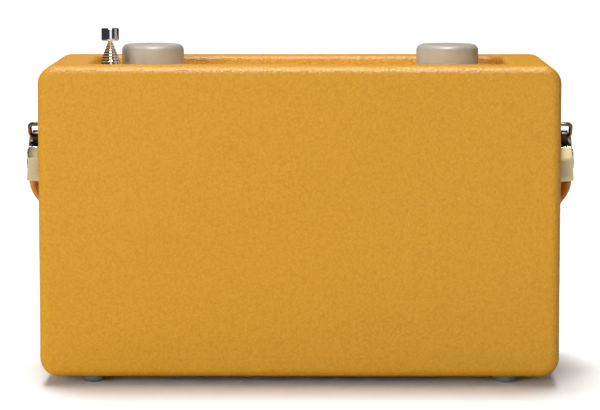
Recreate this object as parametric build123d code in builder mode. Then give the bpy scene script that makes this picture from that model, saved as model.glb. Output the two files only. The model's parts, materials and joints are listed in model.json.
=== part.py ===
from build123d import *
import os
from math import cos, radians, sin, tan

# A leather-covered portable radio with a carrying strap, in millimetres.
# Origin: middle of the four feet, on the table. +X runs to the right of a person
# facing the front, +Y runs to the back, +Z is up. The front faces -Y.

os.makedirs("parts", exist_ok=True)

# ---- driving dimensions ----
CASE_WIDTH, CASE_DEPTH, CASE_HEIGHT = 250.0, 104.0, 150.0
FOOT_HEIGHT = 4.0
FOOT_DIAMETER = 10.8
FOOT_X, FOOT_Y = 100.0, 38.0
CORNER_RADIUS = 9.0  # of the case as seen from the back
EDGE_RADIUS = 4.5  # where the front and the back turn into the sides
LEATHER = 1.2
WALL = 8.0  # wooden panels
RECESS_WIDTH, RECESS_DEPTH, RECESS_CORNER = 202.0, 72.0, 9.0
RECESS_RIM = 3.0
PLATE_THICKNESS = 2.0
BAFFLE_THICKNESS = 6.0
BAFFLE_SETBACK = 6.0  # from the front of the leather to the baffle

KNOB_DIAMETER = 30.5
KNOB_TOP = 161.7
KNOB_X = 72.5
SHAFT_DIAMETER = 6.0
RUNNING_CLEARANCE = 0.05  # radial

BUTTON_PITCH = 16.0
BUTTON_LENGTH, BUTTON_WIDTH = 10.0, 6.0
BUTTON_TRAVEL = 0.8

AERIAL_X, AERIAL_Y = 92.0, 22.0
AERIAL_SECTIONS = 7  # that slide out of the fixed tube
AERIAL_DIAMETER = 9.3  # of the fixed tube, each section is 1 mm less
AERIAL_FOOT = 35.5
AERIAL_TOP = 155.1
AERIAL_STEP = 1.33  # how far each section stands out of the one outside it
CAP_DIAMETER, CAP_HEIGHT = 8.5, 6.1

PIVOT_Z = 122.1
HANDLE_LEAN = 41.2  # degrees that the resting strap leans forward from straight down
STRAP_THICKNESS, STRAP_WIDTH = 3.5, 16.0
STRAP_REACH = 100.0  # from the pivot to the middle of the grip
STRAP_CORNER = 25.0
SLEEVE_START, SLEEVE_END = 12.0, 32.0  # distances from the pivot along the strap
SLEEVE_X = 132.1  # middle of the sleeve's thickness at its start
SLEEVE_FLARE = 5.7  # degrees that the sleeve leans away from the case
SLEEVE_THICKNESS = 5.5  # round the strap, where the swivel pin holds it
SLEEVE_LINER = 2.0  # more of it on the side towards the case
SLEEVE_SHOULDER, SHOULDER_LENGTH = 9.0, 5.0  # width at the start, and where it is full
STRAP_TURN_IN = 28.0  # degrees that the leather bends back towards the case
TURN_IN_RADIUS, TURN_DOWN_RADIUS = 25.0, 18.0
PIN_DIAMETER = 2.0
PIN_DROP = 8.7  # from the pivot to the lower bar of the swivel pin
KNUCKLE_DIAMETER = 6.0

SPEAKER_X, SPEAKER_Z = 62.0, 83.5
SPEAKER_RADIUS = 33.0
CELL_DIAMETER, CELL_LENGTH = 34.2, 61.5  # size D
TRAY_LENGTH, TRAY_WIDTH, TRAY_WALL = 135.0, 75.0, 2.0
DOOR_THICKNESS = 2.0

# ---- levels worked out from them ----
case_bottom = FOOT_HEIGHT
case_top = FOOT_HEIGHT + CASE_HEIGHT
case_middle = FOOT_HEIGHT + CASE_HEIGHT / 2
front_y = -CASE_DEPTH / 2
skin_and_wall = LEATHER + WALL
cavity_bottom = case_bottom + skin_and_wall
cavity_top = case_top - skin_and_wall
cavity_x = CASE_WIDTH / 2 - skin_and_wall
cavity_back = CASE_DEPTH / 2 - skin_and_wall
baffle_front = front_y + BAFFLE_SETBACK
baffle_back = baffle_front + BAFFLE_THICKNESS
plate_top = cavity_top
plate_bottom = plate_top - PLATE_THICKNESS
side_x = CASE_WIDTH / 2
FRONT_GAP = 0.2  # between the baffle and the leather turned in round it
mouth_width = 2 * (cavity_x - LEATHER)  # of the leather-lined front opening
mouth_height = cavity_top - cavity_bottom - 2 * LEATHER

lean = radians(HANDLE_LEAN)
# In this plane x runs across the radio and y runs from the pivot along the hanging strap.
handle_plane = Plane(
    origin=(0, 0, PIVOT_Z), x_dir=(1, 0, 0), z_dir=(0, cos(lean), -sin(lean))
)


def save(piece, name):
    """Label a finished piece and write it under its name."""
    piece.part.label = name
    export_step(piece.part, f"parts/{name}.step")


def block(width, depth, height, centre, radius=0.0):
    """An upright block with its centre given, its upright edges rounded."""
    x, y, z = centre
    with BuildPart() as body:
        with BuildSketch(Plane.XY.offset(z - height / 2)):
            with Locations((x, y)):
                if radius:
                    RectangleRounded(width, depth, radius)
                else:
                    Rectangle(width, depth)
        extrude(amount=height)
    return body.part


def rod(diameter, bottom, top, x=0.0, y=0.0):
    """An upright round rod between two heights."""
    with BuildPart() as body:
        with BuildSketch(Plane.XY.offset(bottom)):
            with Locations((x, y)):
                Circle(diameter / 2)
        extrude(amount=top - bottom)
    return body.part


def cross_rod(diameter, x_start, x_end, y, z):
    """A round rod lying along X."""
    with BuildPart() as body:
        with BuildSketch(Plane.YZ.offset(x_start)):
            with Locations((y, z)):
                Circle(diameter / 2)
        extrude(amount=x_end - x_start)
    return body.part


def depth_rod(diameter, y_start, y_end, x, z):
    """A round rod lying along Y."""
    with BuildPart() as body:
        with BuildSketch(Plane.XZ.offset(-y_end)):
            with Locations((x, z)):
                Circle(diameter / 2)
        extrude(amount=y_end - y_start)
    return body.part


# ---- fasteners, made first so that the pieces they hold can be bored for them ----
SCREW_SHANK = 2.4
SCREW_HEAD, SCREW_HEAD_HEIGHT = 4.6, 1.4

SCREW_LENGTH = 7.0
SPEAKER_FLANGE = 2.0
plate_half_x = cavity_x - 7.0
plate_half_y = -baffle_back - 0.2
plate_screw_places = [(x, y) for x in (-105.6, 105.6) for y in (-30, 30)]
speaker_screw_offset = (SPEAKER_RADIUS - 3.2) * cos(radians(45))
flange_back = baffle_back + SPEAKER_FLANGE
with BuildPart() as panel_screws:
    for x, y in plate_screw_places:
        add(rod(SCREW_HEAD, plate_bottom - SCREW_HEAD_HEIGHT, plate_bottom, x, y))
        add(rod(SCREW_SHANK, plate_bottom, plate_bottom + SCREW_LENGTH, x, y))
    for middle in (-SPEAKER_X, SPEAKER_X):
        for dx in (-speaker_screw_offset, speaker_screw_offset):
            for dz in (-speaker_screw_offset, speaker_screw_offset):
                x, z = middle + dx, SPEAKER_Z + dz
                add(depth_rod(SCREW_HEAD, flange_back, flange_back + SCREW_HEAD_HEIGHT, x, z))
                add(depth_rod(SCREW_SHANK, flange_back - SCREW_LENGTH, flange_back, x, z))
save(panel_screws, "panel_screws")


# ---- cabinet: five wooden panels cut from one rounded box ----
def rounded_case(inset):
    """The whole case as one rounded block, drawn in by an inset all round."""
    with BuildPart() as body:
        with BuildSketch(Plane.XZ):
            with Locations((0, case_middle)):
                RectangleRounded(
                    CASE_WIDTH - 2 * inset, CASE_HEIGHT - 2 * inset, CORNER_RADIUS - inset
                )
        extrude(amount=CASE_DEPTH / 2 - inset, both=True)
        fillet(body.faces().filter_by(Axis.Y).edges(), EDGE_RADIUS - inset)
    return body.part


def recess_cut(margin):
    """What the top recess takes away."""
    with BuildPart() as body:
        with BuildSketch(Plane.XY.offset(cavity_top)):
            RectangleRounded(
                RECESS_WIDTH + 2 * margin, RECESS_DEPTH + 2 * margin, RECESS_CORNER + margin
            )
        extrude(amount=case_top - cavity_top + 1)
    return body.part


def mouth_cut(margin, back):
    """What the front opening takes away, from the front to a plane at y = back."""
    with BuildPart() as body:
        with BuildSketch(Plane.XZ.offset(-back)):
            with Locations((0, case_middle)):
                RectangleRounded(mouth_width + 2 * margin, mouth_height + 2 * margin, 3 + margin)
        extrude(amount=back - front_y + 1)
    return body.part


def stud_bore(diameter):
    """The two side bores that the strap's studs pass through."""
    with BuildPart() as body:
        add(cross_rod(diameter, -side_x - 1, -cavity_x + 1, 0, PIVOT_Z))
        add(cross_rod(diameter, cavity_x - 1, side_x + 1, 0, PIVOT_Z))
    return body.part


STUD_NECK = 6.0
tray_hole = block(TRAY_LENGTH, TRAY_WIDTH, 2 * skin_and_wall, (0, 0, case_bottom), 3)

with BuildPart() as wooden_box:
    add(rounded_case(LEATHER))
    add(recess_cut(LEATHER), mode=Mode.SUBTRACT)
    top_rim = (
        wooden_box.faces().filter_by(Axis.Z).sort_by(Axis.Z)[-1].inner_wires()[0].edges()
    )
    fillet(top_rim, RECESS_RIM - LEATHER)
    add(mouth_cut(LEATHER, baffle_back), mode=Mode.SUBTRACT)
    front_rim = (
        wooden_box.faces().filter_by(Axis.Y).sort_by(Axis.Y)[0].inner_wires()[0].edges()
    )
    fillet(front_rim, RECESS_RIM - LEATHER)
    add(tray_hole, mode=Mode.SUBTRACT)
    add(stud_bore(STUD_NECK), mode=Mode.SUBTRACT)

with BuildPart() as leather_cover:
    add(rounded_case(0))
    add(recess_cut(0), mode=Mode.SUBTRACT)
    top_rim = (
        leather_cover.faces().filter_by(Axis.Z).sort_by(Axis.Z)[-1].inner_wires()[0].edges()
    )
    fillet(top_rim, RECESS_RIM)
    add(mouth_cut(0, baffle_back), mode=Mode.SUBTRACT)
    front_rim = (
        leather_cover.faces().filter_by(Axis.Y).sort_by(Axis.Y)[0].inner_wires()[0].edges()
    )
    fillet(front_rim, RECESS_RIM)
    add(tray_hole, mode=Mode.SUBTRACT)
    add(stud_bore(STUD_NECK), mode=Mode.SUBTRACT)
    add(wooden_box.part, mode=Mode.SUBTRACT)
save(leather_cover, "leather_cover")

cavity_length = cavity_back - baffle_back
cavity = block(
    2 * cavity_x, cavity_length, cavity_top - cavity_bottom,
    (0, (cavity_back + baffle_back) / 2, case_middle),
)
panel_spaces = {
    "cabinet_top": block(CASE_WIDTH, CASE_DEPTH, skin_and_wall, (0, 0, case_top - skin_and_wall / 2)),
    "cabinet_base": block(
        CASE_WIDTH, CASE_DEPTH, skin_and_wall, (0, 0, case_bottom + skin_and_wall / 2)
    ),
    "cabinet_left_side": block(
        skin_and_wall, CASE_DEPTH, cavity_top - cavity_bottom,
        (-side_x + skin_and_wall / 2, 0, case_middle),
    ),
    "cabinet_right_side": block(
        skin_and_wall, CASE_DEPTH, cavity_top - cavity_bottom,
        (side_x - skin_and_wall / 2, 0, case_middle),
    ),
    "cabinet_back": block(
        2 * cavity_x, skin_and_wall, cavity_top - cavity_bottom,
        (0, CASE_DEPTH / 2 - skin_and_wall / 2, case_middle),
    ),
}
for panel_name, panel_space in panel_spaces.items():
    with BuildPart() as panel:
        add(wooden_box.part)
        add(cavity, mode=Mode.SUBTRACT)
        add(panel_space, mode=Mode.INTERSECT)
        add(panel_screws.part, mode=Mode.SUBTRACT)
    save(panel, panel_name)

# Glue blocks in the four corners of the cabinet, which the baffle is fixed to.
BLOCK_WIDTH, BLOCK_HEIGHT, BLOCK_LENGTH = 6.5, 14.0, 22.0
with BuildPart() as corner_blocks:
    for x in (-1, 1):
        for z in (cavity_bottom + BLOCK_HEIGHT / 2, cavity_top - BLOCK_HEIGHT / 2):
            centre = (x * (cavity_x - BLOCK_WIDTH / 2), baffle_back + BLOCK_LENGTH / 2, z)
            add(block(BLOCK_WIDTH, BLOCK_LENGTH, BLOCK_HEIGHT, centre))
save(corner_blocks, "corner_blocks")

# ---- front: baffle, cloth, gilt frame, display ----
SPEAKER_OPENING = 56.0
DISPLAY_WIDTH, DISPLAY_HEIGHT, DISPLAY_Z = 50.0, 26.0, 113.5
FRAME_WIDTH, FRAME_DEPTH = 3.0, 3.5
CLOTH_THICKNESS = 1.6
frame_outer_width = mouth_width - 2 * FRONT_GAP
frame_outer_height = mouth_height - 2 * FRONT_GAP


def front_panel(width, height, back, thickness, radius, z=case_middle):
    """A flat upright panel facing the front, with its back at y = back."""
    with BuildPart() as body:
        with BuildSketch(Plane.XZ.offset(-back)):
            with Locations((0, z)):
                RectangleRounded(width, height, radius)
        extrude(amount=thickness)
    return body.part


display_space = front_panel(
    DISPLAY_WIDTH, DISPLAY_HEIGHT, baffle_back, BAFFLE_THICKNESS + 3, 2, DISPLAY_Z
)
with BuildPart() as front_baffle:
    add(front_panel(frame_outer_width, frame_outer_height, baffle_back, BAFFLE_THICKNESS, 2.5))
    add(display_space, mode=Mode.SUBTRACT)
    for x in (-SPEAKER_X, SPEAKER_X):
        opening = depth_rod(SPEAKER_OPENING, baffle_front - 1, baffle_back + 1, x, SPEAKER_Z)
        add(opening, mode=Mode.SUBTRACT)
    add(panel_screws.part, mode=Mode.SUBTRACT)
save(front_baffle, "front_baffle")

cloth_width = frame_outer_width - 2 * FRAME_WIDTH
cloth_height = frame_outer_height - 2 * FRAME_WIDTH
with BuildPart() as grille_cloth:
    add(front_panel(cloth_width, cloth_height, baffle_front, CLOTH_THICKNESS, 1.5))
    add(display_space, mode=Mode.SUBTRACT)
save(grille_cloth, "grille_cloth")

with BuildPart() as grille_frame:
    add(front_panel(frame_outer_width, frame_outer_height, baffle_front, FRAME_DEPTH, 2.5))
    opening = front_panel(cloth_width, cloth_height, baffle_front + 1, FRAME_DEPTH + 2, 1.5)
    add(opening, mode=Mode.SUBTRACT)
    fillet(grille_frame.faces().sort_by(Axis.Y)[0].edges(), 0.8)
save(grille_frame, "grille_frame")

WINDOW_THICKNESS = 1.5
window_back = baffle_front - CLOTH_THICKNESS + WINDOW_THICKNESS
with BuildPart() as display_window:
    add(
        front_panel(
            DISPLAY_WIDTH - 0.2, DISPLAY_HEIGHT - 0.2, window_back, WINDOW_THICKNESS + 0.6, 2,
            DISPLAY_Z,
        )
    )
    chamfer(display_window.faces().sort_by(Axis.Y)[0].edges(), 0.4)
save(display_window, "display_window")

with BuildPart() as display_module:
    add(front_panel(DISPLAY_WIDTH - 2, DISPLAY_HEIGHT - 2, baffle_back, 4.5, 0.5, DISPLAY_Z))
save(display_module, "display_module")

# ---- loudspeakers ----
BASKET_DEPTH, BASKET_WALL = 18.0, 1.2
MAGNET_DIAMETER, MAGNET_DEPTH = 42.0, 11.0
CONE_WALL = 0.8


def turned_about_depth(x, points):
    """A solid turned about a Y-wise line through a loudspeaker, from (radius, y) points."""
    with BuildPart() as body:
        with BuildSketch(Plane.XY.offset(SPEAKER_Z)):
            with BuildLine():
                Polyline([(x + radius, y) for radius, y in points], close=True)
            make_face()
        revolve(axis=Axis((x, 0, SPEAKER_Z), (0, 1, 0)))
    return body.part


basket_outline = [
    (SPEAKER_RADIUS, baffle_back),
    (SPEAKER_RADIUS, baffle_back + SPEAKER_FLANGE),
    (27, baffle_back + SPEAKER_FLANGE),
    (17, baffle_back + BASKET_DEPTH),
    (7, baffle_back + BASKET_DEPTH),
    (7, baffle_back + BASKET_DEPTH - BASKET_WALL),
    (16, baffle_back + BASKET_DEPTH - BASKET_WALL),
    (26.4, baffle_back),
]
cone_outline = [
    (25.4, baffle_back),
    (6, baffle_back + 12),
    (0, baffle_back + 9),
    (0, baffle_back + 9 + CONE_WALL),
    (6, baffle_back + 12 + CONE_WALL),
    (6.3, baffle_back + 12 + CONE_WALL),
    (25.4, baffle_back + CONE_WALL),
]
magnet_front = baffle_back + BASKET_DEPTH
with BuildPart() as speaker_baskets:
    for x in (-SPEAKER_X, SPEAKER_X):
        add(turned_about_depth(x, basket_outline))
    add(panel_screws.part, mode=Mode.SUBTRACT)
save(speaker_baskets, "speaker_baskets")

with BuildPart() as speaker_cones:
    for x in (-SPEAKER_X, SPEAKER_X):
        add(turned_about_depth(x, cone_outline))
save(speaker_cones, "speaker_cones")

with BuildPart() as speaker_magnets:
    for x in (-SPEAKER_X, SPEAKER_X):
        add(depth_rod(MAGNET_DIAMETER, magnet_front, magnet_front + MAGNET_DEPTH, x, SPEAKER_Z))
save(speaker_magnets, "speaker_magnets")

# ---- control plate, its controls and sockets ----
SOCKET_X, SOCKET_Y = -93.0, 14.0
BUSH_DIAMETER, BUSH_TOP = 8.0, 148.1
PLATE_BUSH_DIAMETER = 14.0
button_places = [BUTTON_PITCH * (i - 2) for i in range(5)]
sockets = {"headphone_socket": SOCKET_Y, "charging_socket": -SOCKET_Y}

with BuildPart() as control_plate:
    add(
        block(
            2 * plate_half_x, 2 * plate_half_y, PLATE_THICKNESS,
            (0, 0, plate_top - PLATE_THICKNESS / 2), 2,
        )
    )
    with Locations((-KNOB_X, 0, plate_top), (KNOB_X, 0, plate_top)):
        Hole(BUSH_DIAMETER / 2)
    with Locations((AERIAL_X, AERIAL_Y, plate_top)):
        Hole(AERIAL_DIAMETER / 2 + 1)
    with Locations([(SOCKET_X, y, plate_top) for y in sockets.values()]):
        Hole(BUSH_DIAMETER / 2)
    for x in button_places:
        hole = block(BUTTON_LENGTH, BUTTON_WIDTH, 3 * PLATE_THICKNESS, (x, 0, plate_top), 2)
        add(hole, mode=Mode.SUBTRACT)
    add(panel_screws.part, mode=Mode.SUBTRACT)
save(control_plate, "control_plate")

CONTROL_DIAMETER, CONTROL_HEIGHT = 17.0, 9.0
SHAFT_BOTTOM = plate_bottom - CONTROL_HEIGHT + 2
for control_name, x in (("volume_control", -KNOB_X), ("tuning_control", KNOB_X)):
    with BuildPart() as control:
        add(rod(CONTROL_DIAMETER, plate_bottom - CONTROL_HEIGHT, plate_bottom, x))
        add(rod(BUSH_DIAMETER, plate_bottom, BUSH_TOP, x))
        shaft_bore = SHAFT_DIAMETER + 2 * RUNNING_CLEARANCE
        add(rod(shaft_bore, SHAFT_BOTTOM - 0.1, BUSH_TOP + 1, x), mode=Mode.SUBTRACT)
        pin_row = block(11, 3.5, 1.5, (x, -9, plate_bottom - CONTROL_HEIGHT + 2))
        add(pin_row)
    save(control, control_name)

NUT_ACROSS, NUT_HEIGHT = 12.0, 2.0
with BuildPart() as control_nuts:
    with BuildSketch(Plane.XY.offset(plate_top)):
        with Locations((-KNOB_X, 0), (KNOB_X, 0)):
            RegularPolygon(NUT_ACROSS / 2, 6, major_radius=False)
            Circle(BUSH_DIAMETER / 2, mode=Mode.SUBTRACT)
    extrude(amount=NUT_HEIGHT)
save(control_nuts, "control_nuts")

KNOB_BOTTOM = plate_top + 1.0
KNOB_EDGE = 3.0
KNOB_SKIRT = 2.4
KNOB_CAVITY_TOP = KNOB_BOTTOM + 4.0
KNOB_DISH = 0.6  # how far the top dips in the middle
for knob_name, x in (("volume", -KNOB_X), ("tuning", KNOB_X)):
    with BuildPart() as shaft:
        add(rod(SHAFT_DIAMETER, SHAFT_BOTTOM, KNOB_TOP - 3, x))
    save(shaft, f"{knob_name}_shaft")

    radius = KNOB_DIAMETER / 2
    with BuildPart() as knob:
        with BuildSketch(Plane.XZ):
            with BuildLine():
                Line((x, KNOB_BOTTOM), (x, KNOB_TOP - KNOB_DISH))
                ThreePointArc(
                    (x, KNOB_TOP - KNOB_DISH),
                    (x + 0.45 * radius, KNOB_TOP - 0.75 * KNOB_DISH),
                    (x + radius - KNOB_EDGE, KNOB_TOP),
                )
                RadiusArc(
                    (x + radius - KNOB_EDGE, KNOB_TOP), (x + radius, KNOB_TOP - KNOB_EDGE), KNOB_EDGE
                )
                Polyline(
                    (x + radius, KNOB_TOP - KNOB_EDGE),
                    (x + radius, KNOB_BOTTOM),
                    (x, KNOB_BOTTOM),
                )
            make_face()
        revolve(axis=Axis((x, 0, 0), (0, 0, 1)))
        cavity_under = rod(KNOB_DIAMETER - 2 * KNOB_SKIRT, KNOB_BOTTOM - 1, KNOB_CAVITY_TOP, x)
        add(cavity_under, mode=Mode.SUBTRACT)
        add(shaft.part, mode=Mode.SUBTRACT)
    save(knob, f"{knob_name}_knob")

BUTTON_PROUD = 2.0
BUTTON_FLANGE = 1.0
SLIDE_GAP = 0.1
button_top = plate_top + BUTTON_PROUD
flange_bottom = plate_bottom - BUTTON_FLANGE
for number, x in enumerate(button_places, start=1):
    with BuildPart() as button:
        stem_height = button_top - flange_bottom
        add(
            block(
                BUTTON_LENGTH - 2 * SLIDE_GAP, BUTTON_WIDTH - 2 * SLIDE_GAP, stem_height,
                (x, 0, button_top - stem_height / 2), 1.8,
            )
        )
        fillet(button.faces().sort_by(Axis.Z)[-1].edges(), 0.6)
        add(
            block(
                BUTTON_LENGTH + 2, BUTTON_WIDTH + 2, BUTTON_FLANGE,
                (x, 0, flange_bottom + BUTTON_FLANGE / 2), 2,
            )
        )
    save(button, f"preset_button_{number}")

BOARD_THICKNESS = 1.6
POST_DIAMETER, POST_LENGTH = 5.0, 8.0
BOARD_TOP = plate_bottom - POST_LENGTH
switch_top = flange_bottom - BUTTON_TRAVEL - 0.1
with BuildPart() as button_switches:
    for x in button_places:
        add(block(6, 6, 3.5, (x, 0, BOARD_TOP + 1.75)))
        add(rod(3.4, BOARD_TOP + 3.5, switch_top, x))
save(button_switches, "button_switches")

with BuildPart() as control_board:
    add(block(120, 32, BOARD_THICKNESS, (0, 0, BOARD_TOP - BOARD_THICKNESS / 2), 1.5))
    add(block(10, 10, 1.4, (-20, -10, BOARD_TOP + 0.7)))
    add(block(14, 5, 3, (25, 11, BOARD_TOP + 1.5)))
save(control_board, "control_board")

for socket_name, y in sockets.items():
    with BuildPart() as socket:
        add(block(13, 12, 9, (SOCKET_X, y, plate_bottom - 4.5), 0.8))
        add(rod(BUSH_DIAMETER, plate_bottom, plate_top + 0.2, SOCKET_X, y))
        add(rod(BUSH_DIAMETER + 3, plate_top, plate_top + 1.2, SOCKET_X, y))
        bore_diameter = 3.6
        add(rod(bore_diameter, plate_bottom - 8, plate_top + 2, SOCKET_X, y), mode=Mode.SUBTRACT)
        fillet(socket.edges().filter_by(GeomType.CIRCLE).sort_by(Axis.Z)[-1], 0.4)
    save(socket, socket_name)


# ---- aerial: a fixed tube and seven sections that slide out of it ----
def aerial_diameter(index):
    """Outer diameter of a section: 0 is the fixed tube."""
    return AERIAL_DIAMETER - index


with BuildPart() as aerial_bush:
    add(rod(AERIAL_DIAMETER + 2, plate_bottom, plate_top, AERIAL_X, AERIAL_Y))
    add(rod(PLATE_BUSH_DIAMETER, plate_top, plate_top + 2.6, AERIAL_X, AERIAL_Y))
    fillet(aerial_bush.faces().sort_by(Axis.Z)[-1].edges(), 0.8)
    tube_bore = rod(AERIAL_DIAMETER, plate_bottom - 1, plate_top + 4, AERIAL_X, AERIAL_Y)
    add(tube_bore, mode=Mode.SUBTRACT)
save(aerial_bush, "aerial_bush")

with BuildPart() as aerial_tube:
    add(rod(AERIAL_DIAMETER, AERIAL_FOOT, AERIAL_TOP, AERIAL_X, AERIAL_Y))
    fillet(aerial_tube.faces().sort_by(Axis.Z)[-1].edges(), 0.25)
    bore = aerial_diameter(1) + 2 * RUNNING_CLEARANCE
    add(rod(bore, AERIAL_FOOT - 1, AERIAL_TOP + 1, AERIAL_X, AERIAL_Y), mode=Mode.SUBTRACT)
save(aerial_tube, "aerial_fixed_tube")

with BuildPart() as aerial_bracket:
    add(block(16, cavity_back - AERIAL_Y + 8, 3, (AERIAL_X, (cavity_back + AERIAL_Y - 8) / 2, 34)))
    add(block(16, 3, 16, (AERIAL_X, cavity_back - 1.5, 43.5)))
save(aerial_bracket, "aerial_bracket")

SECTION_FOOT = AERIAL_FOOT + 2
for index in range(1, AERIAL_SECTIONS + 1):
    top = AERIAL_TOP + index * AERIAL_STEP
    with BuildPart() as section:
        add(rod(aerial_diameter(index), SECTION_FOOT, top, AERIAL_X, AERIAL_Y))
        if index < AERIAL_SECTIONS:
            fillet(section.faces().sort_by(Axis.Z)[-1].edges(), 0.25)
            bore = aerial_diameter(index + 1) + 2 * RUNNING_CLEARANCE
            add(rod(bore, SECTION_FOOT - 1, top + 1, AERIAL_X, AERIAL_Y), mode=Mode.SUBTRACT)
    save(section, f"aerial_section_{index}")

cap_bottom = AERIAL_TOP + AERIAL_SECTIONS * AERIAL_STEP
with BuildPart() as aerial_cap:
    add(rod(CAP_DIAMETER, cap_bottom, cap_bottom + CAP_HEIGHT, AERIAL_X, AERIAL_Y))
    fillet(aerial_cap.edges().filter_by(GeomType.CIRCLE), 0.5)
save(aerial_cap, "aerial_cap")

# ---- main board on the back of the cabinet, and the posts of both boards ----
main_board_back = cavity_back - POST_LENGTH
main_board_front = main_board_back - BOARD_THICKNESS
with BuildPart() as main_board:
    add(block(140, BOARD_THICKNESS, 68, (-15, main_board_back - BOARD_THICKNESS / 2, 93.5)))
    add(block(22, 2.0, 22, (-40, main_board_front - 1, 96.5)))
    add(block(30, 12, 14, (20, main_board_front - 6, 109.5)))
    for x in (-2, 12, 26):
        add(depth_rod(9, main_board_front - 13, main_board_front, x, 76.5))
    add(block(12, 8, 6, (-70, main_board_front - 4, 71.5)))
save(main_board, "main_board")

with BuildPart() as board_posts:
    for x in (-80, 50):
        for z in (63.5, 123.5):
            add(depth_rod(POST_DIAMETER, main_board_back, cavity_back, x, z))
    for x in (-56, 56):
        for y in (-12, 12):
            add(rod(POST_DIAMETER, BOARD_TOP, plate_bottom, x, y))
save(board_posts, "board_posts")

# ---- battery tray, cells, contacts and the hinged door under them ----
tray_top = 44.5
inner_length = TRAY_LENGTH - 2 * TRAY_WALL
inner_width = TRAY_WIDTH - 2 * TRAY_WALL
DOOR_GAP = 0.2
HINGE_RADIUS = 1.7
HINGE_PIN = 2.0
hinge_y = inner_width / 2 - HINGE_RADIUS - DOOR_GAP
hinge_z = case_bottom + HINGE_RADIUS
with BuildPart() as battery_tray:
    height = tray_top - case_bottom
    middle_z = (tray_top + case_bottom) / 2
    add(block(TRAY_LENGTH, TRAY_WIDTH, height, (0, 0, middle_z), 3))
    add(block(TRAY_LENGTH + 10, TRAY_WIDTH + 2, 2, (0, 0, cavity_bottom + 1), 3))
    add(
        block(inner_length, inner_width, height, (0, 0, middle_z - TRAY_WALL)),
        mode=Mode.SUBTRACT,
    )
    for side in (-1, 1):
        start, end = sorted((side * (inner_length / 2 - 1), side * (inner_length / 2 + 1.5)))
        pin_hole = cross_rod(HINGE_PIN + 2 * RUNNING_CLEARANCE, start, end, hinge_y, hinge_z)
        add(pin_hole, mode=Mode.SUBTRACT)
save(battery_tray, "battery_tray")

with BuildPart() as battery_door:
    door_length = inner_length - 2 * DOOR_GAP
    door_front = -inner_width / 2 + DOOR_GAP
    door_centre = (0, (hinge_y + door_front) / 2, case_bottom + DOOR_THICKNESS / 2)
    add(block(door_length, hinge_y - door_front, DOOR_THICKNESS, door_centre))
    add(cross_rod(2 * HINGE_RADIUS, -door_length / 2, door_length / 2, hinge_y, hinge_z))
    pin_reach = inner_length / 2 + 1.3
    add(cross_rod(HINGE_PIN, -pin_reach, pin_reach, hinge_y, hinge_z))
save(battery_door, "battery_door")

cell_middle_z = case_bottom + DOOR_THICKNESS + 1.0 + CELL_DIAMETER / 2
cell_rows = (-CELL_DIAMETER / 2 - 0.3, CELL_DIAMETER / 2 + 0.3)
CELL_NUB = 1.5
with BuildPart() as battery_cells:
    for y in cell_rows:
        for side in (-1, 1):
            start = 0.2 if side > 0 else -0.2 - CELL_LENGTH
            add(cross_rod(CELL_DIAMETER, start, start + CELL_LENGTH - CELL_NUB, y, cell_middle_z))
            nub_start = start + CELL_LENGTH - CELL_NUB
            add(cross_rod(9.5, nub_start - 0.01, nub_start + CELL_NUB, y, cell_middle_z))
save(battery_cells, "battery_cells")

with BuildPart() as battery_contacts:
    for y in cell_rows:
        for side in (-1, 1):
            plate_middle = side * (inner_length / 2 - 0.3)
            add(block(0.6, 14, 16, (plate_middle, y, cell_middle_z)))
save(battery_contacts, "battery_contacts")

# ---- feet: soft domes stuck on ----
FOOT_ROUND = 2.0
with BuildPart() as feet:
    for x in (-FOOT_X, FOOT_X):
        for y in (-FOOT_Y, FOOT_Y):
            add(rod(FOOT_DIAMETER, 0, FOOT_HEIGHT, x, y))
    fillet(feet.faces().group_by(Axis.Z)[0].edges(), FOOT_ROUND)
save(feet, "feet")

# ---- strap handle: studs on the case, swivel pins, sleeves, rivets and the strap ----
ROSETTE_DIAMETER, ROSETTE_THICKNESS = 15.0, 1.4
STUD_REACH = side_x + 3.0
PIN_INNER_END = side_x - 3.0
STUD_NUT_THICKNESS = 2.5
for stud_name, side in (("left_handle_stud", -1), ("right_handle_stud", 1)):
    with BuildPart() as stud:
        with BuildSketch(Plane.XY.offset(PIVOT_Z)):
            with BuildLine():
                Polyline(
                    (side * (cavity_x - 4), 0),
                    (side * (cavity_x - 4), STUD_NECK / 2),
                    (side * side_x, STUD_NECK / 2),
                    (side * side_x, ROSETTE_DIAMETER / 2),
                    (side * (side_x + 0.5 * ROSETTE_THICKNESS), ROSETTE_DIAMETER / 2),
                    (side * (side_x + ROSETTE_THICKNESS), ROSETTE_DIAMETER / 2 - 1.5),
                    (side * (side_x + ROSETTE_THICKNESS), STUD_NECK / 2 - 0.4),
                    (side * STUD_REACH, STUD_NECK / 2 - 0.8),
                    (side * STUD_REACH, 0),
                    close=True,
                )
            make_face()
        revolve(axis=Axis((0, 0, PIVOT_Z), (1, 0, 0)))
        start, end = sorted((side * (PIN_INNER_END - 0.2), side * (STUD_REACH + 1)))
        pin_bore = cross_rod(PIN_DIAMETER + 2 * RUNNING_CLEARANCE, start, end, 0, PIVOT_Z)
        add(pin_bore, mode=Mode.SUBTRACT)
    save(stud, stud_name)

with BuildPart() as stud_nuts:
    for side in (-1, 1):
        start, end = sorted((side * cavity_x, side * (cavity_x - STUD_NUT_THICKNESS)))
        add(cross_rod(11, start, end, 0, PIVOT_Z))
        add(cross_rod(STUD_NECK, start - 1, end + 1, 0, PIVOT_Z), mode=Mode.SUBTRACT)
save(stud_nuts, "stud_nuts")

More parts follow.
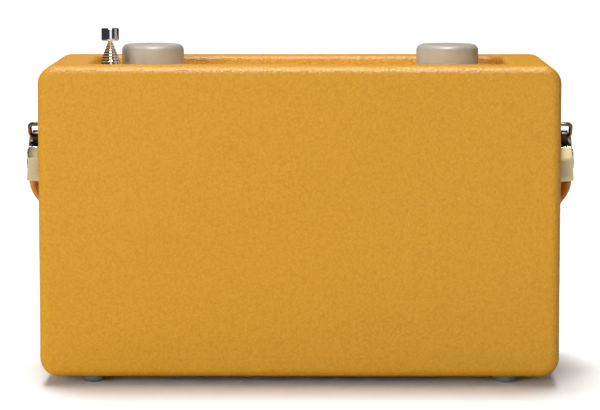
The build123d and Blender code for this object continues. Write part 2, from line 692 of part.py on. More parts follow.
PIN_OUTER_X = SLEEVE_X + SLEEVE_THICKNESS / 2 - PIN_DIAMETER / 2
KNUCKLE_START = SLEEVE_X - SLEEVE_THICKNESS / 2
STRAP_START = SLEEVE_START + 6.0
KNUCKLE_END = PIN_OUTER_X - PIN_DIAMETER / 2 - 0.1
PIN_BEND = 2.2
SLEEVE_WALL = 0.9
RIVET_DIAMETER, RIVET_HEAD, RIVET_HEAD_HEIGHT = 3.0, 5.0, 0.7
RIVET_PLACES = (21.5, 28.5)  # distances from the pivot


def side_plane(x):
    """A plane facing +X, whose y runs from the pivot along the hanging strap."""
    return Plane(origin=(x, 0, PIVOT_Z), x_dir=(0, -cos(lean), sin(lean)), z_dir=(1, 0, 0))


def leaning_rod(diameter, x_start, x_end, distance):
    """A round rod along X, at a distance from the pivot along the strap."""
    with BuildPart() as body:
        with BuildSketch(side_plane(x_start)):
            with Locations((0, distance)):
                Circle(diameter / 2)
        extrude(amount=x_end - x_start)
    return body.part


flare, turn_in = radians(SLEEVE_FLARE), radians(STRAP_TURN_IN)


def flared(distance, shift=0.0):
    """A point of the sleeve's middle line in the handle plane, moved outwards by a shift."""
    x = SLEEVE_X + (distance - SLEEVE_START) * tan(flare)
    return x + shift * cos(flare), distance - shift * sin(flare)


def flared_rod(diameter, side, inner, outer, distance):
    """A round rod square to the sleeve on one side, between two distances from its middle."""
    x, along = flared(distance)
    normal = (side * cos(flare), sin(flare) * sin(lean), sin(flare) * cos(lean))
    middle = handle_plane.from_local_coords((side * x, along, 0))
    with BuildPart() as body:
        with BuildSketch(Plane(origin=middle, z_dir=normal).offset(inner)):
            Circle(diameter / 2)
        extrude(amount=outer - inner)
    return body.part


half_sleeve = SLEEVE_THICKNESS / 2
sleeve_inside = -half_sleeve - SLEEVE_LINER
with BuildPart() as sleeve_rivets:
    for side in (-1, 1):
        for distance in RIVET_PLACES:
            add(flared_rod(RIVET_DIAMETER, side, sleeve_inside, half_sleeve, distance))
            for end in (sleeve_inside - RIVET_HEAD_HEIGHT, half_sleeve):
                add(flared_rod(RIVET_HEAD, side, end, end + RIVET_HEAD_HEIGHT, distance))
save(sleeve_rivets, "sleeve_rivets")

# The strap leaves the sleeve along its flare, bends in, straightens and turns across the front.
bend_start = flared(SLEEVE_END + 0.5)
bend_middle = (
    bend_start[0] - TURN_IN_RADIUS * (cos(flare) - cos(turn_in)),
    bend_start[1] + TURN_IN_RADIUS * (sin(flare) + sin(turn_in)),
)
leg_x = bend_middle[0] - TURN_DOWN_RADIUS * (1 - cos(turn_in))
bend_end = (leg_x, bend_middle[1] + TURN_DOWN_RADIUS * sin(turn_in))
strap_points = [  # with the direction there, in radians outwards from straight along
    (flared(STRAP_START), flare),
    (bend_start, flare),
    (bend_middle, -turn_in),
    (bend_end, 0),
    ((leg_x, STRAP_REACH - STRAP_CORNER), 0),
    ((leg_x - STRAP_CORNER, STRAP_REACH), -radians(90)),
]


def strap_half(side, shift):
    """One half of the strap's run, to the middle of the grip, moved outwards by a shift."""
    points = [
        (side * (x + shift * cos(heading)), along - shift * sin(heading))
        for (x, along), heading in strap_points
    ]
    start = Line(points[0], points[1])
    bend_in = TangentArc(points[1], points[2], tangent=start % 1)
    bend_down = TangentArc(points[2], points[3], tangent=bend_in % 1)
    leg = Line(points[3], points[4])
    TangentArc(points[4], points[5], tangent=leg % 1)
    Line(points[5], (0, points[5][1]))
    return points[0]


with BuildPart() as carrying_strap:
    with BuildSketch(handle_plane):
        with BuildLine():
            for side in (-1, 1):
                outside = strap_half(side, STRAP_THICKNESS / 2)
                inside = strap_half(side, -STRAP_THICKNESS / 2)
                Line(outside, inside)
        make_face()
    extrude(amount=STRAP_WIDTH / 2, both=True)
    add(sleeve_rivets.part, mode=Mode.SUBTRACT)
save(carrying_strap, "carrying_strap")

for side_name, side in (("left", -1), ("right", 1)):
    with BuildPart() as pin:
        with BuildLine(handle_plane) as pin_line:
            FilletPolyline(
                (side * PIN_INNER_END, 0),
                (side * PIN_OUTER_X, 0),
                (side * PIN_OUTER_X, PIN_DROP),
                (side * (KNUCKLE_START + 0.4), PIN_DROP),
                radius=PIN_BEND,
            )
        with BuildSketch(Plane(origin=pin_line.line @ 0, z_dir=pin_line.line % 0)):
            Circle(PIN_DIAMETER / 2)
        sweep(path=pin_line.line)
    save(pin, f"{side_name}_swivel_pin")

    with BuildPart() as sleeve:
        with BuildSketch(handle_plane):
            with BuildLine():
                corners = [
                    flared(distance, shift)
                    for distance, shift in (
                        (SLEEVE_START, sleeve_inside),
                        (SLEEVE_START, half_sleeve),
                        (SLEEVE_END, half_sleeve),
                        (SLEEVE_END, sleeve_inside),
                    )
                ]
                Polyline(*[(side * x, along) for x, along in corners], close=True)
            make_face()
        half_width = STRAP_WIDTH / 2 + SLEEVE_WALL
        extrude(amount=half_width, both=True)
        with BuildSketch(side_plane(side * SLEEVE_X)):
            with BuildLine():
                shoulder = SLEEVE_SHOULDER / 2
                full = SLEEVE_START + SHOULDER_LENGTH
                Polyline(
                    (-shoulder, SLEEVE_START - 2),
                    (-shoulder, SLEEVE_START),
                    (-half_width, full),
                    (-half_width, SLEEVE_END + 2),
                    (half_width, SLEEVE_END + 2),
                    (half_width, full),
                    (shoulder, SLEEVE_START),
                    (shoulder, SLEEVE_START - 2),
                    close=True,
                )
            make_face()
        extrude(amount=10, both=True, mode=Mode.INTERSECT)
        knuckle_ends = sorted((side * KNUCKLE_START, side * KNUCKLE_END))
        add(leaning_rod(KNUCKLE_DIAMETER, *knuckle_ends, PIN_DROP))
        with BuildSketch(side_plane(knuckle_ends[0])):
            with Locations((0, (PIN_DROP + SLEEVE_START) / 2 + 1)):
                Rectangle(KNUCKLE_DIAMETER - 1, SLEEVE_START - PIN_DROP + 2)
        extrude(amount=knuckle_ends[1] - knuckle_ends[0])
        add(carrying_strap.part, mode=Mode.SUBTRACT)
        add(sleeve_rivets.part, mode=Mode.SUBTRACT)
        add(pin.part, mode=Mode.SUBTRACT)
    save(sleeve, f"{side_name}_strap_sleeve")
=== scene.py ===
import json
import math

import bmesh
import bpy
from mathutils import Matrix, Vector
from mathutils import noise as perlin


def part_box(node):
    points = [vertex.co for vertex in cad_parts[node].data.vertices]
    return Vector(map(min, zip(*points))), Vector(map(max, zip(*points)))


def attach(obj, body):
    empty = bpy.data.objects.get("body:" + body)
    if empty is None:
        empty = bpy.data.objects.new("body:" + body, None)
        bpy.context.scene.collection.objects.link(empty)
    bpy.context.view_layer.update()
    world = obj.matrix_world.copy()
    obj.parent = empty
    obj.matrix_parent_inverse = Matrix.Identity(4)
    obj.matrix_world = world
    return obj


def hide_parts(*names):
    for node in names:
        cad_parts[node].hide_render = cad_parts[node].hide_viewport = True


# A leather-covered portable radio, seen from behind as in the photograph.
# Everything is in metres in the CAD frame: front -Y, back +Y, up +Z.

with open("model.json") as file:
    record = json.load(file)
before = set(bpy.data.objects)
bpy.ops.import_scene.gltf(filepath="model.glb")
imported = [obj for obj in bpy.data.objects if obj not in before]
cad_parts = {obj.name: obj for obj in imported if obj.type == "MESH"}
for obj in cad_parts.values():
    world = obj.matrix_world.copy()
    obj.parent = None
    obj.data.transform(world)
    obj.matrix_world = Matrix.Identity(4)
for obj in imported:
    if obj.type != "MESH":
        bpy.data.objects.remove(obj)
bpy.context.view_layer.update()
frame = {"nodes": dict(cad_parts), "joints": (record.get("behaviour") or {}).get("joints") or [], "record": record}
nodes = frame["nodes"]
joints = {joint["name"]: joint for joint in frame["joints"]}
MM = 0.001


# ---------------------------------------------------------------- camera
CAMERA_BEHIND = 1.3771  # from the back of the case
CAMERA_ABOVE = 0.0850  # over the top of the case
CAMERA_ASIDE = -0.0087
CAMERA_TILT, CAMERA_YAW = math.radians(6.277), math.radians(0.35)
CAMERA_LENS, SENSOR = 174.0, 36.0
case_low, case_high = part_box("leather_cover")

camera_data = bpy.data.cameras.new("camera")
camera_data.lens = CAMERA_LENS
camera_data.sensor_width = SENSOR
camera_data.clip_start, camera_data.clip_end = 0.01, 100
camera = bpy.data.objects.new("camera", camera_data)
bpy.context.scene.collection.objects.link(camera)
camera.location = (CAMERA_ASIDE, case_high.y + CAMERA_BEHIND, case_high.z + CAMERA_ABOVE)
looks_along = Vector(
    (
        math.sin(CAMERA_YAW) * math.cos(CAMERA_TILT),
        -math.cos(CAMERA_YAW) * math.cos(CAMERA_TILT),
        -math.sin(CAMERA_TILT),
    )
)
camera.rotation_euler = looks_along.to_track_quat("-Z", "Y").to_euler()
bpy.context.scene.camera = camera


# ---------------------------------------------------------------- materials
def new_material(name):
    """An empty node material: returns it, its node tree and its shader."""
    material = bpy.data.materials.new(name)
    material.use_nodes = True
    tree = material.node_tree
    return material, tree, tree.nodes["Principled BSDF"]


def add_node(tree, kind, settings=None, **inputs):
    """Adds a node, sets its properties and its input values, named with _ for spaces."""
    node = tree.nodes.new(kind)
    for key, value in (settings or {}).items():
        setattr(node, key, value)
    for key, value in inputs.items():
        node.inputs[key.replace("_", " ")].default_value = value
    return node


def coordinates(tree, scale=(1, 1, 1), rotation=(0, 0, 0)):
    """Object coordinates, in metres, stretched by a scale."""
    source = add_node(tree, "ShaderNodeTexCoord")
    mapping = add_node(tree, "ShaderNodeMapping", Scale=scale, Rotation=rotation)
    tree.links.new(source.outputs["Object"], mapping.inputs["Vector"])
    return mapping.outputs["Vector"]


def noise(tree, vector, scale, detail=3.0, roughness=0.5, distortion=0.0):
    """Noise from 0 to 1, with so many lumps to the metre."""
    node = add_node(
        tree, "ShaderNodeTexNoise", Scale=scale, Detail=detail, Roughness=roughness,
        Distortion=distortion,
    )
    tree.links.new(vector, node.inputs["Vector"])
    return node.outputs["Fac"]


def ramp(tree, value, stops):
    """A colour ramp through (place, colour) stops."""
    node = add_node(tree, "ShaderNodeValToRGB")
    elements = node.color_ramp.elements
    while len(elements) < len(stops):
        elements.new(0.5)
    for element, (place, colour) in zip(elements, stops):
        element.position = place
        element.color = (*colour, 1)
    tree.links.new(value, node.inputs["Fac"])
    return node.outputs["Color"]


def span(tree, value, low, high):
    """The value's 0 to 1 range stretched to low to high."""
    node = add_node(tree, "ShaderNodeMapRange", To_Min=low, To_Max=high)
    tree.links.new(value, node.inputs["Value"])
    return node.outputs["Result"]


def combine(tree, operation, first, second):
    """Arithmetic on two values, each a socket or a number."""
    node = add_node(tree, "ShaderNodeMath", {"operation": operation})
    for slot, value in zip(node.inputs, (first, second)):
        if isinstance(value, (int, float)):
            slot.default_value = value
        else:
            tree.links.new(value, slot)
    return node.outputs["Value"]


def weighted_sum(tree, *terms):
    """Adds up values, each given with its weight."""
    total = None
    for value, weight in terms:
        part = combine(tree, "MULTIPLY", value, weight)
        total = part if total is None else combine(tree, "ADD", total, part)
    return total


def mix_colour(tree, factor, first, second):
    """A blend of two colours, each a socket or a colour."""
    node = add_node(tree, "ShaderNodeMix", {"data_type": "RGBA"})
    for slot, value in ((node.inputs[0], factor), (node.inputs[6], first), (node.inputs[7], second)):
        if isinstance(value, (int, float)):
            slot.default_value = value
        elif isinstance(value, tuple):
            slot.default_value = (*value, 1)
        else:
            tree.links.new(value, slot)
    return node.outputs[2]


def add_bump(tree, shader, height, distance, below=None):
    """Bump from a height, in metres of distance, over another bump if given."""
    node = add_node(tree, "ShaderNodeBump", Distance=distance)
    tree.links.new(height, node.inputs["Height"])
    if below is not None:
        tree.links.new(below, node.inputs["Normal"])
    tree.links.new(node.outputs["Normal"], shader.inputs["Normal"])
    return node.outputs["Normal"]


WARP_SCALE, WARP_REACH = 420.0, 1.6 * MM  # of the noise that bends the grains out of round
CREASE_SPACING = 0.8  # creases to a grain
FOLD_SCALE, FOLD_STRETCH = 230, (0.8, 1, 1.25)


def leather_material(name, light, dark, pebble=0.0012, depth=0.00019, roughness=0.42):
    """Pebbled leather: rounded grains, creases between them, and soft folds a few mm long."""
    material, tree, shader = new_material(name)
    vector = coordinates(tree)
    warp = add_node(tree, "ShaderNodeTexNoise", Scale=WARP_SCALE, Detail=2.0)
    tree.links.new(vector, warp.inputs["Vector"])
    shifted = add_node(tree, "ShaderNodeVectorMath", {"operation": "MULTIPLY_ADD"})
    tree.links.new(warp.outputs["Color"], shifted.inputs[0])
    shifted.inputs[1].default_value = (WARP_REACH,) * 3
    tree.links.new(vector, shifted.inputs[2])

    def cells(feature, scale):
        node = add_node(tree, "ShaderNodeTexVoronoi", {"feature": feature}, Scale=scale)
        tree.links.new(shifted.outputs["Vector"], node.inputs["Vector"])
        return node.outputs["Distance"]

    domes = combine(tree, "MULTIPLY", cells("F1", 1 / pebble), 1.1)
    domes = combine(tree, "SUBTRACT", 1, domes)
    creases = combine(tree, "MULTIPLY", cells("DISTANCE_TO_EDGE", CREASE_SPACING / pebble), 4)
    creases = combine(tree, "POWER", combine(tree, "MINIMUM", creases, 1), 0.6)
    folds = noise(tree, coordinates(tree, FOLD_STRETCH), FOLD_SCALE, 4, 0.62, 0.8)
    ridges = combine(tree, "ABSOLUTE", combine(tree, "SUBTRACT", folds, 0.5), 0)
    ridges = combine(tree, "MINIMUM", combine(tree, "MULTIPLY", ridges, 5), 1)
    soft = noise(tree, vector, 38, 2)
    height = weighted_sum(tree, (domes, 0.9), (creases, 0.15), (ridges, 0.2), (folds, 1.5))
    add_bump(tree, shader, height, depth)
    # The colour follows the relief: lighter on the grains' crowns and along the raised folds, darker in the
    # creases between grains, which is painted shade; the soft noise adds random tone.
    shade = weighted_sum(tree, (domes, 0.75), (folds, 0.15), (soft, 0.2))
    tree.links.new(ramp(tree, shade, [(0.25, dark), (0.8, light)]), shader.inputs["Base Color"])
    rough = span(tree, combine(tree, "MULTIPLY", domes, folds), roughness + 0.12, roughness - 0.1)
    tree.links.new(rough, shader.inputs["Roughness"])
    shader.inputs["Specular IOR Level"].default_value = 0.42
    return material


def brushed_material(name, colour, roughness=0.24, along=(1, 1, 0.02), grain=0.00001, tilt=0.0):
    """Metal with fine brush lines along one direction, which may be tilted about X."""
    material, tree, shader = new_material(name)
    source = add_node(tree, "ShaderNodeTexCoord")
    mapping = add_node(
        tree, "ShaderNodeMapping", {"vector_type": "TEXTURE"},
        Scale=tuple(1 / part for part in along), Rotation=(tilt, 0, 0),
    )
    tree.links.new(source.outputs["Object"], mapping.inputs["Vector"])
    lines = noise(tree, mapping.outputs["Vector"], 5200, 3, 0.6)
    shader.inputs["Metallic"].default_value = 1
    tone = ramp(tree, lines, [(0.3, tuple(0.86 * c for c in colour)), (0.7, colour)])
    tree.links.new(tone, shader.inputs["Base Color"])
    tree.links.new(span(tree, lines, roughness - 0.07, roughness + 0.1), shader.inputs["Roughness"])
    add_bump(tree, shader, lines, grain)
    return material


def polished_material(name, colour, roughness=0.07):
    """Polished metal with faint smears."""
    material, tree, shader = new_material(name)
    smears = noise(tree, coordinates(tree), 260, 4, 0.6, 0.6)
    shader.inputs["Metallic"].default_value = 1
    shader.inputs["Base Color"].default_value = (*colour, 1)
    tree.links.new(span(tree, smears, roughness * 0.6, roughness * 1.8), shader.inputs["Roughness"])
    return material


def plastic_material(name, colour, roughness=0.45, texture=0.00003, grain=4200, coat=0.0):
    """Moulded plastic with a spark-eroded texture and faint handling marks."""
    material, tree, shader = new_material(name)
    vector = coordinates(tree)
    fine = noise(tree, vector, grain, 2)
    marks = noise(tree, vector, 90, 4, 0.6)
    tone = ramp(tree, marks, [(0.3, tuple(0.93 * c for c in colour)), (0.7, colour)])
    tree.links.new(tone, shader.inputs["Base Color"])
    tree.links.new(span(tree, marks, roughness - 0.06, roughness + 0.08), shader.inputs["Roughness"])
    shader.inputs["Coat Weight"].default_value = coat
    add_bump(tree, shader, fine, texture)
    return material


def wood_material():
    """Raw fibreboard: pale, with short fibres."""
    material, tree, shader = new_material("fibreboard")
    fibres = noise(tree, coordinates(tree, (1, 4, 1)), 700, 5, 0.7)
    colour = ramp(tree, fibres, [(0.3, (0.30, 0.19, 0.10)), (0.7, (0.45, 0.31, 0.18))])
    tree.links.new(colour, shader.inputs["Base Color"])
    shader.inputs["Roughness"].default_value = 0.85
    add_bump(tree, shader, fibres, 0.0001)
    return material


THREAD_PITCH = 1.4 * MM


def weave_material():
    """Loosely woven speaker cloth in brown and cream."""
    material, tree, shader = new_material("speaker_cloth")
    source = add_node(tree, "ShaderNodeTexCoord")
    parts = add_node(tree, "ShaderNodeSeparateXYZ")
    tree.links.new(source.outputs["Object"], parts.inputs[0])
    turns = 2 * math.pi / THREAD_PITCH

    def wave(axis, factor, phase=0.0):
        angle = combine(tree, "MULTIPLY", parts.outputs[axis], turns * factor)
        return combine(tree, "SINE", combine(tree, "ADD", angle, phase), 0)

    across, upward = wave("X", 1), wave("Z", 1)
    over = combine(tree, "MULTIPLY", wave("X", 0.5), wave("Z", 0.5))
    over = combine(tree, "ADD", combine(tree, "MULTIPLY", over, 0.5), 0.5)
    warp_high = combine(tree, "MULTIPLY", combine(tree, "ABSOLUTE", across, 0), over)
    weft_high = combine(
        tree, "MULTIPLY", combine(tree, "ABSOLUTE", upward, 0), combine(tree, "SUBTRACT", 1, over)
    )
    height = combine(tree, "MAXIMUM", warp_high, weft_high)
    fuzz = noise(tree, source.outputs["Object"], 5200, 2)
    thread = mix_colour(tree, over, (0.27, 0.18, 0.09), (0.62, 0.49, 0.30))
    slow = noise(tree, source.outputs["Object"], 55, 2)
    thread = mix_colour(tree, span(tree, slow, 0.0, 0.16), thread, (0.10, 0.07, 0.04))
    # Between the threads the colour falls to near black: painted shade in the gaps.
    covered = combine(tree, "MINIMUM", combine(tree, "MULTIPLY", height, 2.2), 1)
    threads_and_gap_shade = mix_colour(tree, covered, (0.025, 0.018, 0.012), thread)
    tree.links.new(threads_and_gap_shade, shader.inputs["Base Color"])
    shader.inputs["Roughness"].default_value = 0.8
    shader.inputs["Sheen Weight"].default_value = 0.25
    first = add_bump(tree, shader, fuzz, 0.00004)
    add_bump(tree, shader, height, 0.00035, below=first)
    return material


def rubber_material():
    """Clear grey elastomer of the stick-on feet."""
    material, tree, shader = new_material("clear_rubber")
    cloud = noise(tree, coordinates(tree), 320, 3)
    colour = ramp(tree, cloud, [(0.3, (0.17, 0.175, 0.17)), (0.7, (0.23, 0.235, 0.23))])
    tree.links.new(colour, shader.inputs["Base Color"])
    tree.links.new(span(tree, cloud, 0.2, 0.3), shader.inputs["Roughness"])
    shader.inputs["Transmission Weight"].default_value = 0.25
    shader.inputs["IOR"].default_value = 1.45
    return material


def window_material():
    """Smoked acrylic with a faint film of dust."""
    material, tree, shader = new_material("smoked_window")
    dust = noise(tree, coordinates(tree), 1500, 4, 0.7)
    shader.inputs["Base Color"].default_value = (0.012, 0.013, 0.015, 1)
    tree.links.new(span(tree, dust, 0.03, 0.12), shader.inputs["Roughness"])
    shader.inputs["Coat Weight"].default_value = 0.6
    return material


def board_material():
    """Green solder mask with copper tracks showing as lighter lines."""
    material, tree, shader = new_material("circuit_board")
    vector = coordinates(tree)
    tracks = add_node(tree, "ShaderNodeTexBrick", Scale=260.0, Mortar_Size=0.04)
    tree.links.new(vector, tracks.inputs["Vector"])
    colour = mix_colour(tree, tracks.outputs["Fac"], (0.012, 0.10, 0.04), (0.05, 0.22, 0.09))
    tree.links.new(colour, shader.inputs["Base Color"])
    shader.inputs["Roughness"].default_value = 0.3
    add_bump(tree, shader, tracks.outputs["Fac"], 0.00002)
    return material


def thread_material():
    """Waxed thread with its twist."""
    material, tree, shader = new_material("waxed_thread")
    twist = noise(tree, coordinates(tree, (1, 1, 1), (0.6, 0.5, 0.4)), 3800, 2)
    colour = ramp(tree, twist, [(0.3, (0.60, 0.42, 0.16)), (0.7, (0.80, 0.62, 0.32))])
    tree.links.new(colour, shader.inputs["Base Color"])
    shader.inputs["Roughness"].default_value = 0.5
    add_bump(tree, shader, twist, 0.00006)
    return material


GILT = (0.83, 0.70, 0.46)
HANDLE_LEAN = math.radians(41.2)  # of the hanging strap, from straight down to the front
leather = leather_material("case_leather", (0.70, 0.333, 0.014), (0.622, 0.287, 0.008))
strap_leather = leather_material(
    "strap_leather", (0.78, 0.32, 0.03), (0.62, 0.235, 0.014), pebble=0.0008, depth=0.00010
)
strap_edge = plastic_material("painted_strap_edge", (0.62, 0.23, 0.025), 0.4, 0.00005, 1500)
gilt_brushed = brushed_material("brushed_gilt", GILT)
# The pin's gilt is a dark bronze tone made darker still to stand for the dark surroundings it reflects: partly its
# own tone, partly painted reflection.
reflection_painted_gilt = polished_material("gilt_with_painted_reflection", (0.20, 0.145, 0.075), 0.16)
# Gilt painted near black: painted shade and painted reflection for the knuckle and the sleeve's end face, which
# lie in shade and mirror dark surroundings.
shade_painted_gilt = polished_material("gilt_with_painted_shade", (0.055, 0.042, 0.026), 0.28)
gilt_sleeve = brushed_material(
    "brushed_gilt_sleeve", (0.88, 0.73, 0.44), 0.2, (1, 1, 0.03), tilt=HANDLE_LEAN
)
gilt_polished = polished_material("polished_gilt", (0.82, 0.66, 0.38), 0.12)
gilt_plate = brushed_material("satin_gilt_plate", (0.86, 0.70, 0.44), 0.32, (0.02, 1, 1))
gilt_plate.node_tree.nodes["Principled BSDF"].inputs["Metallic"].default_value = 0.72
chrome = polished_material("chrome", (0.74, 0.75, 0.78), 0.05)
taupe = plastic_material("taupe_soft_touch", (0.455, 0.415, 0.345), 0.44, 0.00002, 3000)
black = plastic_material("black_plastic", (0.022, 0.022, 0.024), 0.5)
casing = plastic_material("cell_casing", (0.05, 0.06, 0.10), 0.3, 0.00001, 900, 0.4)
steel = brushed_material("plated_steel", (0.62, 0.62, 0.63), 0.3)
paper = plastic_material("cone_paper", (0.03, 0.03, 0.03), 0.85, 0.0001, 1600)
iron = plastic_material("magnet_ceramic", (0.05, 0.05, 0.055), 0.7, 0.00005, 1400)
wood = wood_material()
cloth = weave_material()
rubber = rubber_material()
window = window_material()
board = board_material()
thread = thread_material()

CAD_MATERIALS = {
    "yellow_leather": leather, "strap_leather": strap_leather, "wood": wood,
    "grille_fabric": cloth, "gilt_metal": gilt_brushed, "gilt_plate": gilt_plate,
    "clear_window": window, "display_body": black, "black_metal": black,
    "cone_paper": paper, "magnet_iron": iron, "component_metal": steel, "steel": steel,
    "taupe_plastic": taupe, "black_plastic": black, "circuit_board": board,
    "chrome_metal": chrome, "cell_casing": casing, "grey_rubber": rubber,
}
for part in frame["record"]["subparts"]:
    mesh = nodes[part["node"]].data
    mesh.materials.clear()
    mesh.materials.append(CAD_MATERIALS[part["material_slot"]])


# ---------------------------------------------------------------- mesh tools
def finish_piece(name, bm, material, body, replaced=(), smooth_angle=40):
    """Makes an object of a bmesh, smooths it, and rides it on a CAD body."""
    bmesh.ops.remove_doubles(bm, verts=bm.verts, dist=1e-7)
    bmesh.ops.recalc_face_normals(bm, faces=bm.faces)
    mesh = bpy.data.meshes.new(name)
    bm.to_mesh(mesh)
    bm.free()
    for polygon in mesh.polygons:
        polygon.use_smooth = True
    mesh.set_sharp_from_angle(angle=math.radians(smooth_angle))
    for one in material if isinstance(material, list) else [material]:
        mesh.materials.append(one)
    piece = bpy.data.objects.new(name, mesh)
    bpy.context.scene.collection.objects.link(piece)
    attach(piece, body)
    if replaced:
        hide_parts(*replaced)
    return piece


def joint_place(name):
    """Where a joint turns or slides, in the CAD frame."""
    return Vector(joints[name]["pos_m"])


def noise_at(point):
    """Smooth noise from about -1 to 1, the same on every run."""
    return perlin.noise(point, noise_basis="PERLIN_NEW")


def arc(centre, radius, start, end, steps=6):
    """Points on an arc in a flat (a, b) space, from one angle in degrees to another."""
    return [
        (
            centre[0] + radius * math.cos(math.radians(start + (end - start) * i / steps)),
            centre[1] + radius * math.sin(math.radians(start + (end - start) * i / steps)),
        )
        for i in range(steps + 1)
    ]


def lathe(bm, profile, origin, axis=(0, 0, 1), segments=96):
    """Turns a closed or axis-to-axis (radius, height) profile about an axis; returns the bmesh."""
    turn = Vector((0, 0, 1)).rotation_difference(Vector(axis)).to_matrix().to_4x4()
    place = Matrix.Translation(Vector(origin)) @ turn
    rings = []
    for radius, height in profile:
        if radius < 1e-8:
            rings.append([bm.verts.new(place @ Vector((0, 0, height)))])
            continue
        ring = []
        for i in range(segments):
            angle = 2 * math.pi * i / segments
            ring.append(
                bm.verts.new(place @ Vector((radius * math.cos(angle), radius * math.sin(angle), height)))
            )
        rings.append(ring)
    for first, second in zip(rings, rings[1:]):
        for i in range(segments):
            j = (i + 1) % segments
            corners = [first[k % len(first)] for k in (i, j)]
            corners += [second[k % len(second)] for k in (j, i)]
            unique = list(dict.fromkeys(corners))
            if len(unique) >= 3:
                bm.faces.new(unique)
    return bm


def rounded_outline(half_a, half_b, radius, steps=5):
    """Points round a rectangle with rounded corners, in a flat (a, b) space."""
    outline = []
    for ca, cb, start in (
        (half_a - radius, half_b - radius, 0), (-half_a + radius, half_b - radius, 90),
        (-half_a + radius, -half_b + radius, 180), (half_a - radius, -half_b + radius, 270),
    ):
        outline += arc((ca, cb), radius, start, start + 90, steps)
    return outline


def join_rings(bm, rings):
    """Faces between one ring of points and the next."""
    for first, second in zip(rings, rings[1:]):
        for i in range(len(first)):
            j = (i + 1) % len(first)
            bm.faces.new((first[i], first[j], second[j], second[i]))


def close_ends(bm, rings):
    """The faces that shut the first ring and the last."""
    return bm.faces.new(rings[0][::-1]), bm.faces.new(rings[-1])


def rounded_prism(bm, place, half_x, half_y, height, radius, bevel, steps=6):
    """A prism of rounded-rectangle plan with softly rounded ends, put in place by a matrix."""
    levels = [(bevel + b, a - bevel) for a, b in arc((0, 0), bevel, 270, 360, 4)]
    levels += [(height - bevel + b, a - bevel) for a, b in arc((0, 0), bevel, 0, 90, 4)]
    rings = []
    for z, inset in levels:
        corner = max(radius + inset, 1e-5)
        outline = rounded_outline(half_x + inset, half_y + inset, corner, steps)
        rings.append([bm.verts.new(place @ Vector((x, y, z))) for x, y in outline])
    join_rings(bm, rings)
    close_ends(bm, rings)


def sweep_section(bm, stations, section):
    """Joins a section, as (a, b) points, from one (centre, side, up) station to the next."""
    rings = [
        [bm.verts.new(centre + side * a + up * b) for a, b in section]
        for centre, side, up in stations
    ]
    join_rings(bm, rings)
    close_ends(bm, rings)


# ---------------------------------------------------------------- knobs
KNOB_EDGE = 3.0 * MM
KNOB_DISH = 0.8 * MM
KNOB_SKIRT, KNOB_CAVITY = 2.4 * MM, 4.0 * MM  # its wall, and the hollow underneath
for knob_name in ("volume_knob", "tuning_knob"):
    low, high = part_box(knob_name)
    radius, height = (high.x - low.x) / 2, high.z - low.z
    middle = ((low.x + high.x) / 2, (low.y + high.y) / 2, low.z)
    inside = radius - KNOB_SKIRT
    shoulder = arc((radius - KNOB_EDGE, height - KNOB_EDGE), KNOB_EDGE, 0, 90, 12)
    dish = [
        ((radius - KNOB_EDGE) * k / 10, height - KNOB_DISH * (1 - (k / 10) ** 3))
        for k in range(9, -1, -1)
    ]
    profile = [(0, KNOB_CAVITY), (inside, KNOB_CAVITY), (inside, 0.3 * MM)]
    profile += [(inside + 0.3 * MM, 0), (radius - 0.5 * MM, 0), (radius - 0.1 * MM, 0.4 * MM)]
    profile += [(radius, 2 * MM)] + shoulder + dish
    bm = lathe(bmesh.new(), profile, middle, segments=128)
    finish_piece(knob_name + "_body", bm, taupe, knob_name, [knob_name])

# ---------------------------------------------------------------- aerial
RING_GROOVE = 0.12 * MM
SLIDING_GAP = 0.06 * MM
aerial_nodes = ["aerial_fixed_tube"] + [f"aerial_section_{i}" for i in range(1, 8)]
LIP = 0.42 * MM
for index, node in enumerate(aerial_nodes):
    low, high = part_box(node)
    radius = (high.x - low.x) / 2
    centre = ((low.x + high.x) / 2, (low.y + high.y) / 2, 0)
    top, bottom = high.z, low.z
    if index < len(aerial_nodes) - 1:
        inner_low, inner_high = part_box(aerial_nodes[index + 1])
        bore = (inner_high.x - inner_low.x) / 2 + SLIDING_GAP
    else:
        bore = 0
    lip = arc((radius - LIP, top - LIP), LIP, 0, 90, 8)
    profile = [(radius, bottom), (radius, top - 1.25 * MM), (radius - RING_GROOVE, top - 1.1 * MM)]
    profile += [(radius - RING_GROOVE, top - 0.95 * MM), (radius, top - 0.8 * MM)] + lip
    if bore:
        profile += [(bore, top), (bore, bottom), (radius, bottom)]
    else:
        profile = [(0, bottom)] + profile + [(0, top)]
    bm = lathe(bmesh.new(), profile, centre, segments=64)
    body = "case" if index == 0 else node
    finish_piece(node + "_turned", bm, chrome, body, [node])

low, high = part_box("aerial_cap")
radius, height = (high.x - low.x) / 2, high.z - low.z
centre = ((low.x + high.x) / 2, (low.y + high.y) / 2, low.z)
CAP_EDGE, CAP_SINK = 0.4 * MM, 0.15 * MM
profile = [(0, 0)] + arc((radius - CAP_EDGE, CAP_EDGE), CAP_EDGE, 270, 360, 5)
profile += arc((radius - CAP_EDGE, height - CAP_EDGE), CAP_EDGE, 0, 90, 5)
sunk = height - CAP_SINK
profile += [(radius - 1.1 * MM, height), (radius - 1.3 * MM, sunk), (0, sunk)]
finish_piece(
    "aerial_cap_turned", lathe(bmesh.new(), profile, centre), chrome, "aerial_section_7", ["aerial_cap"]
)

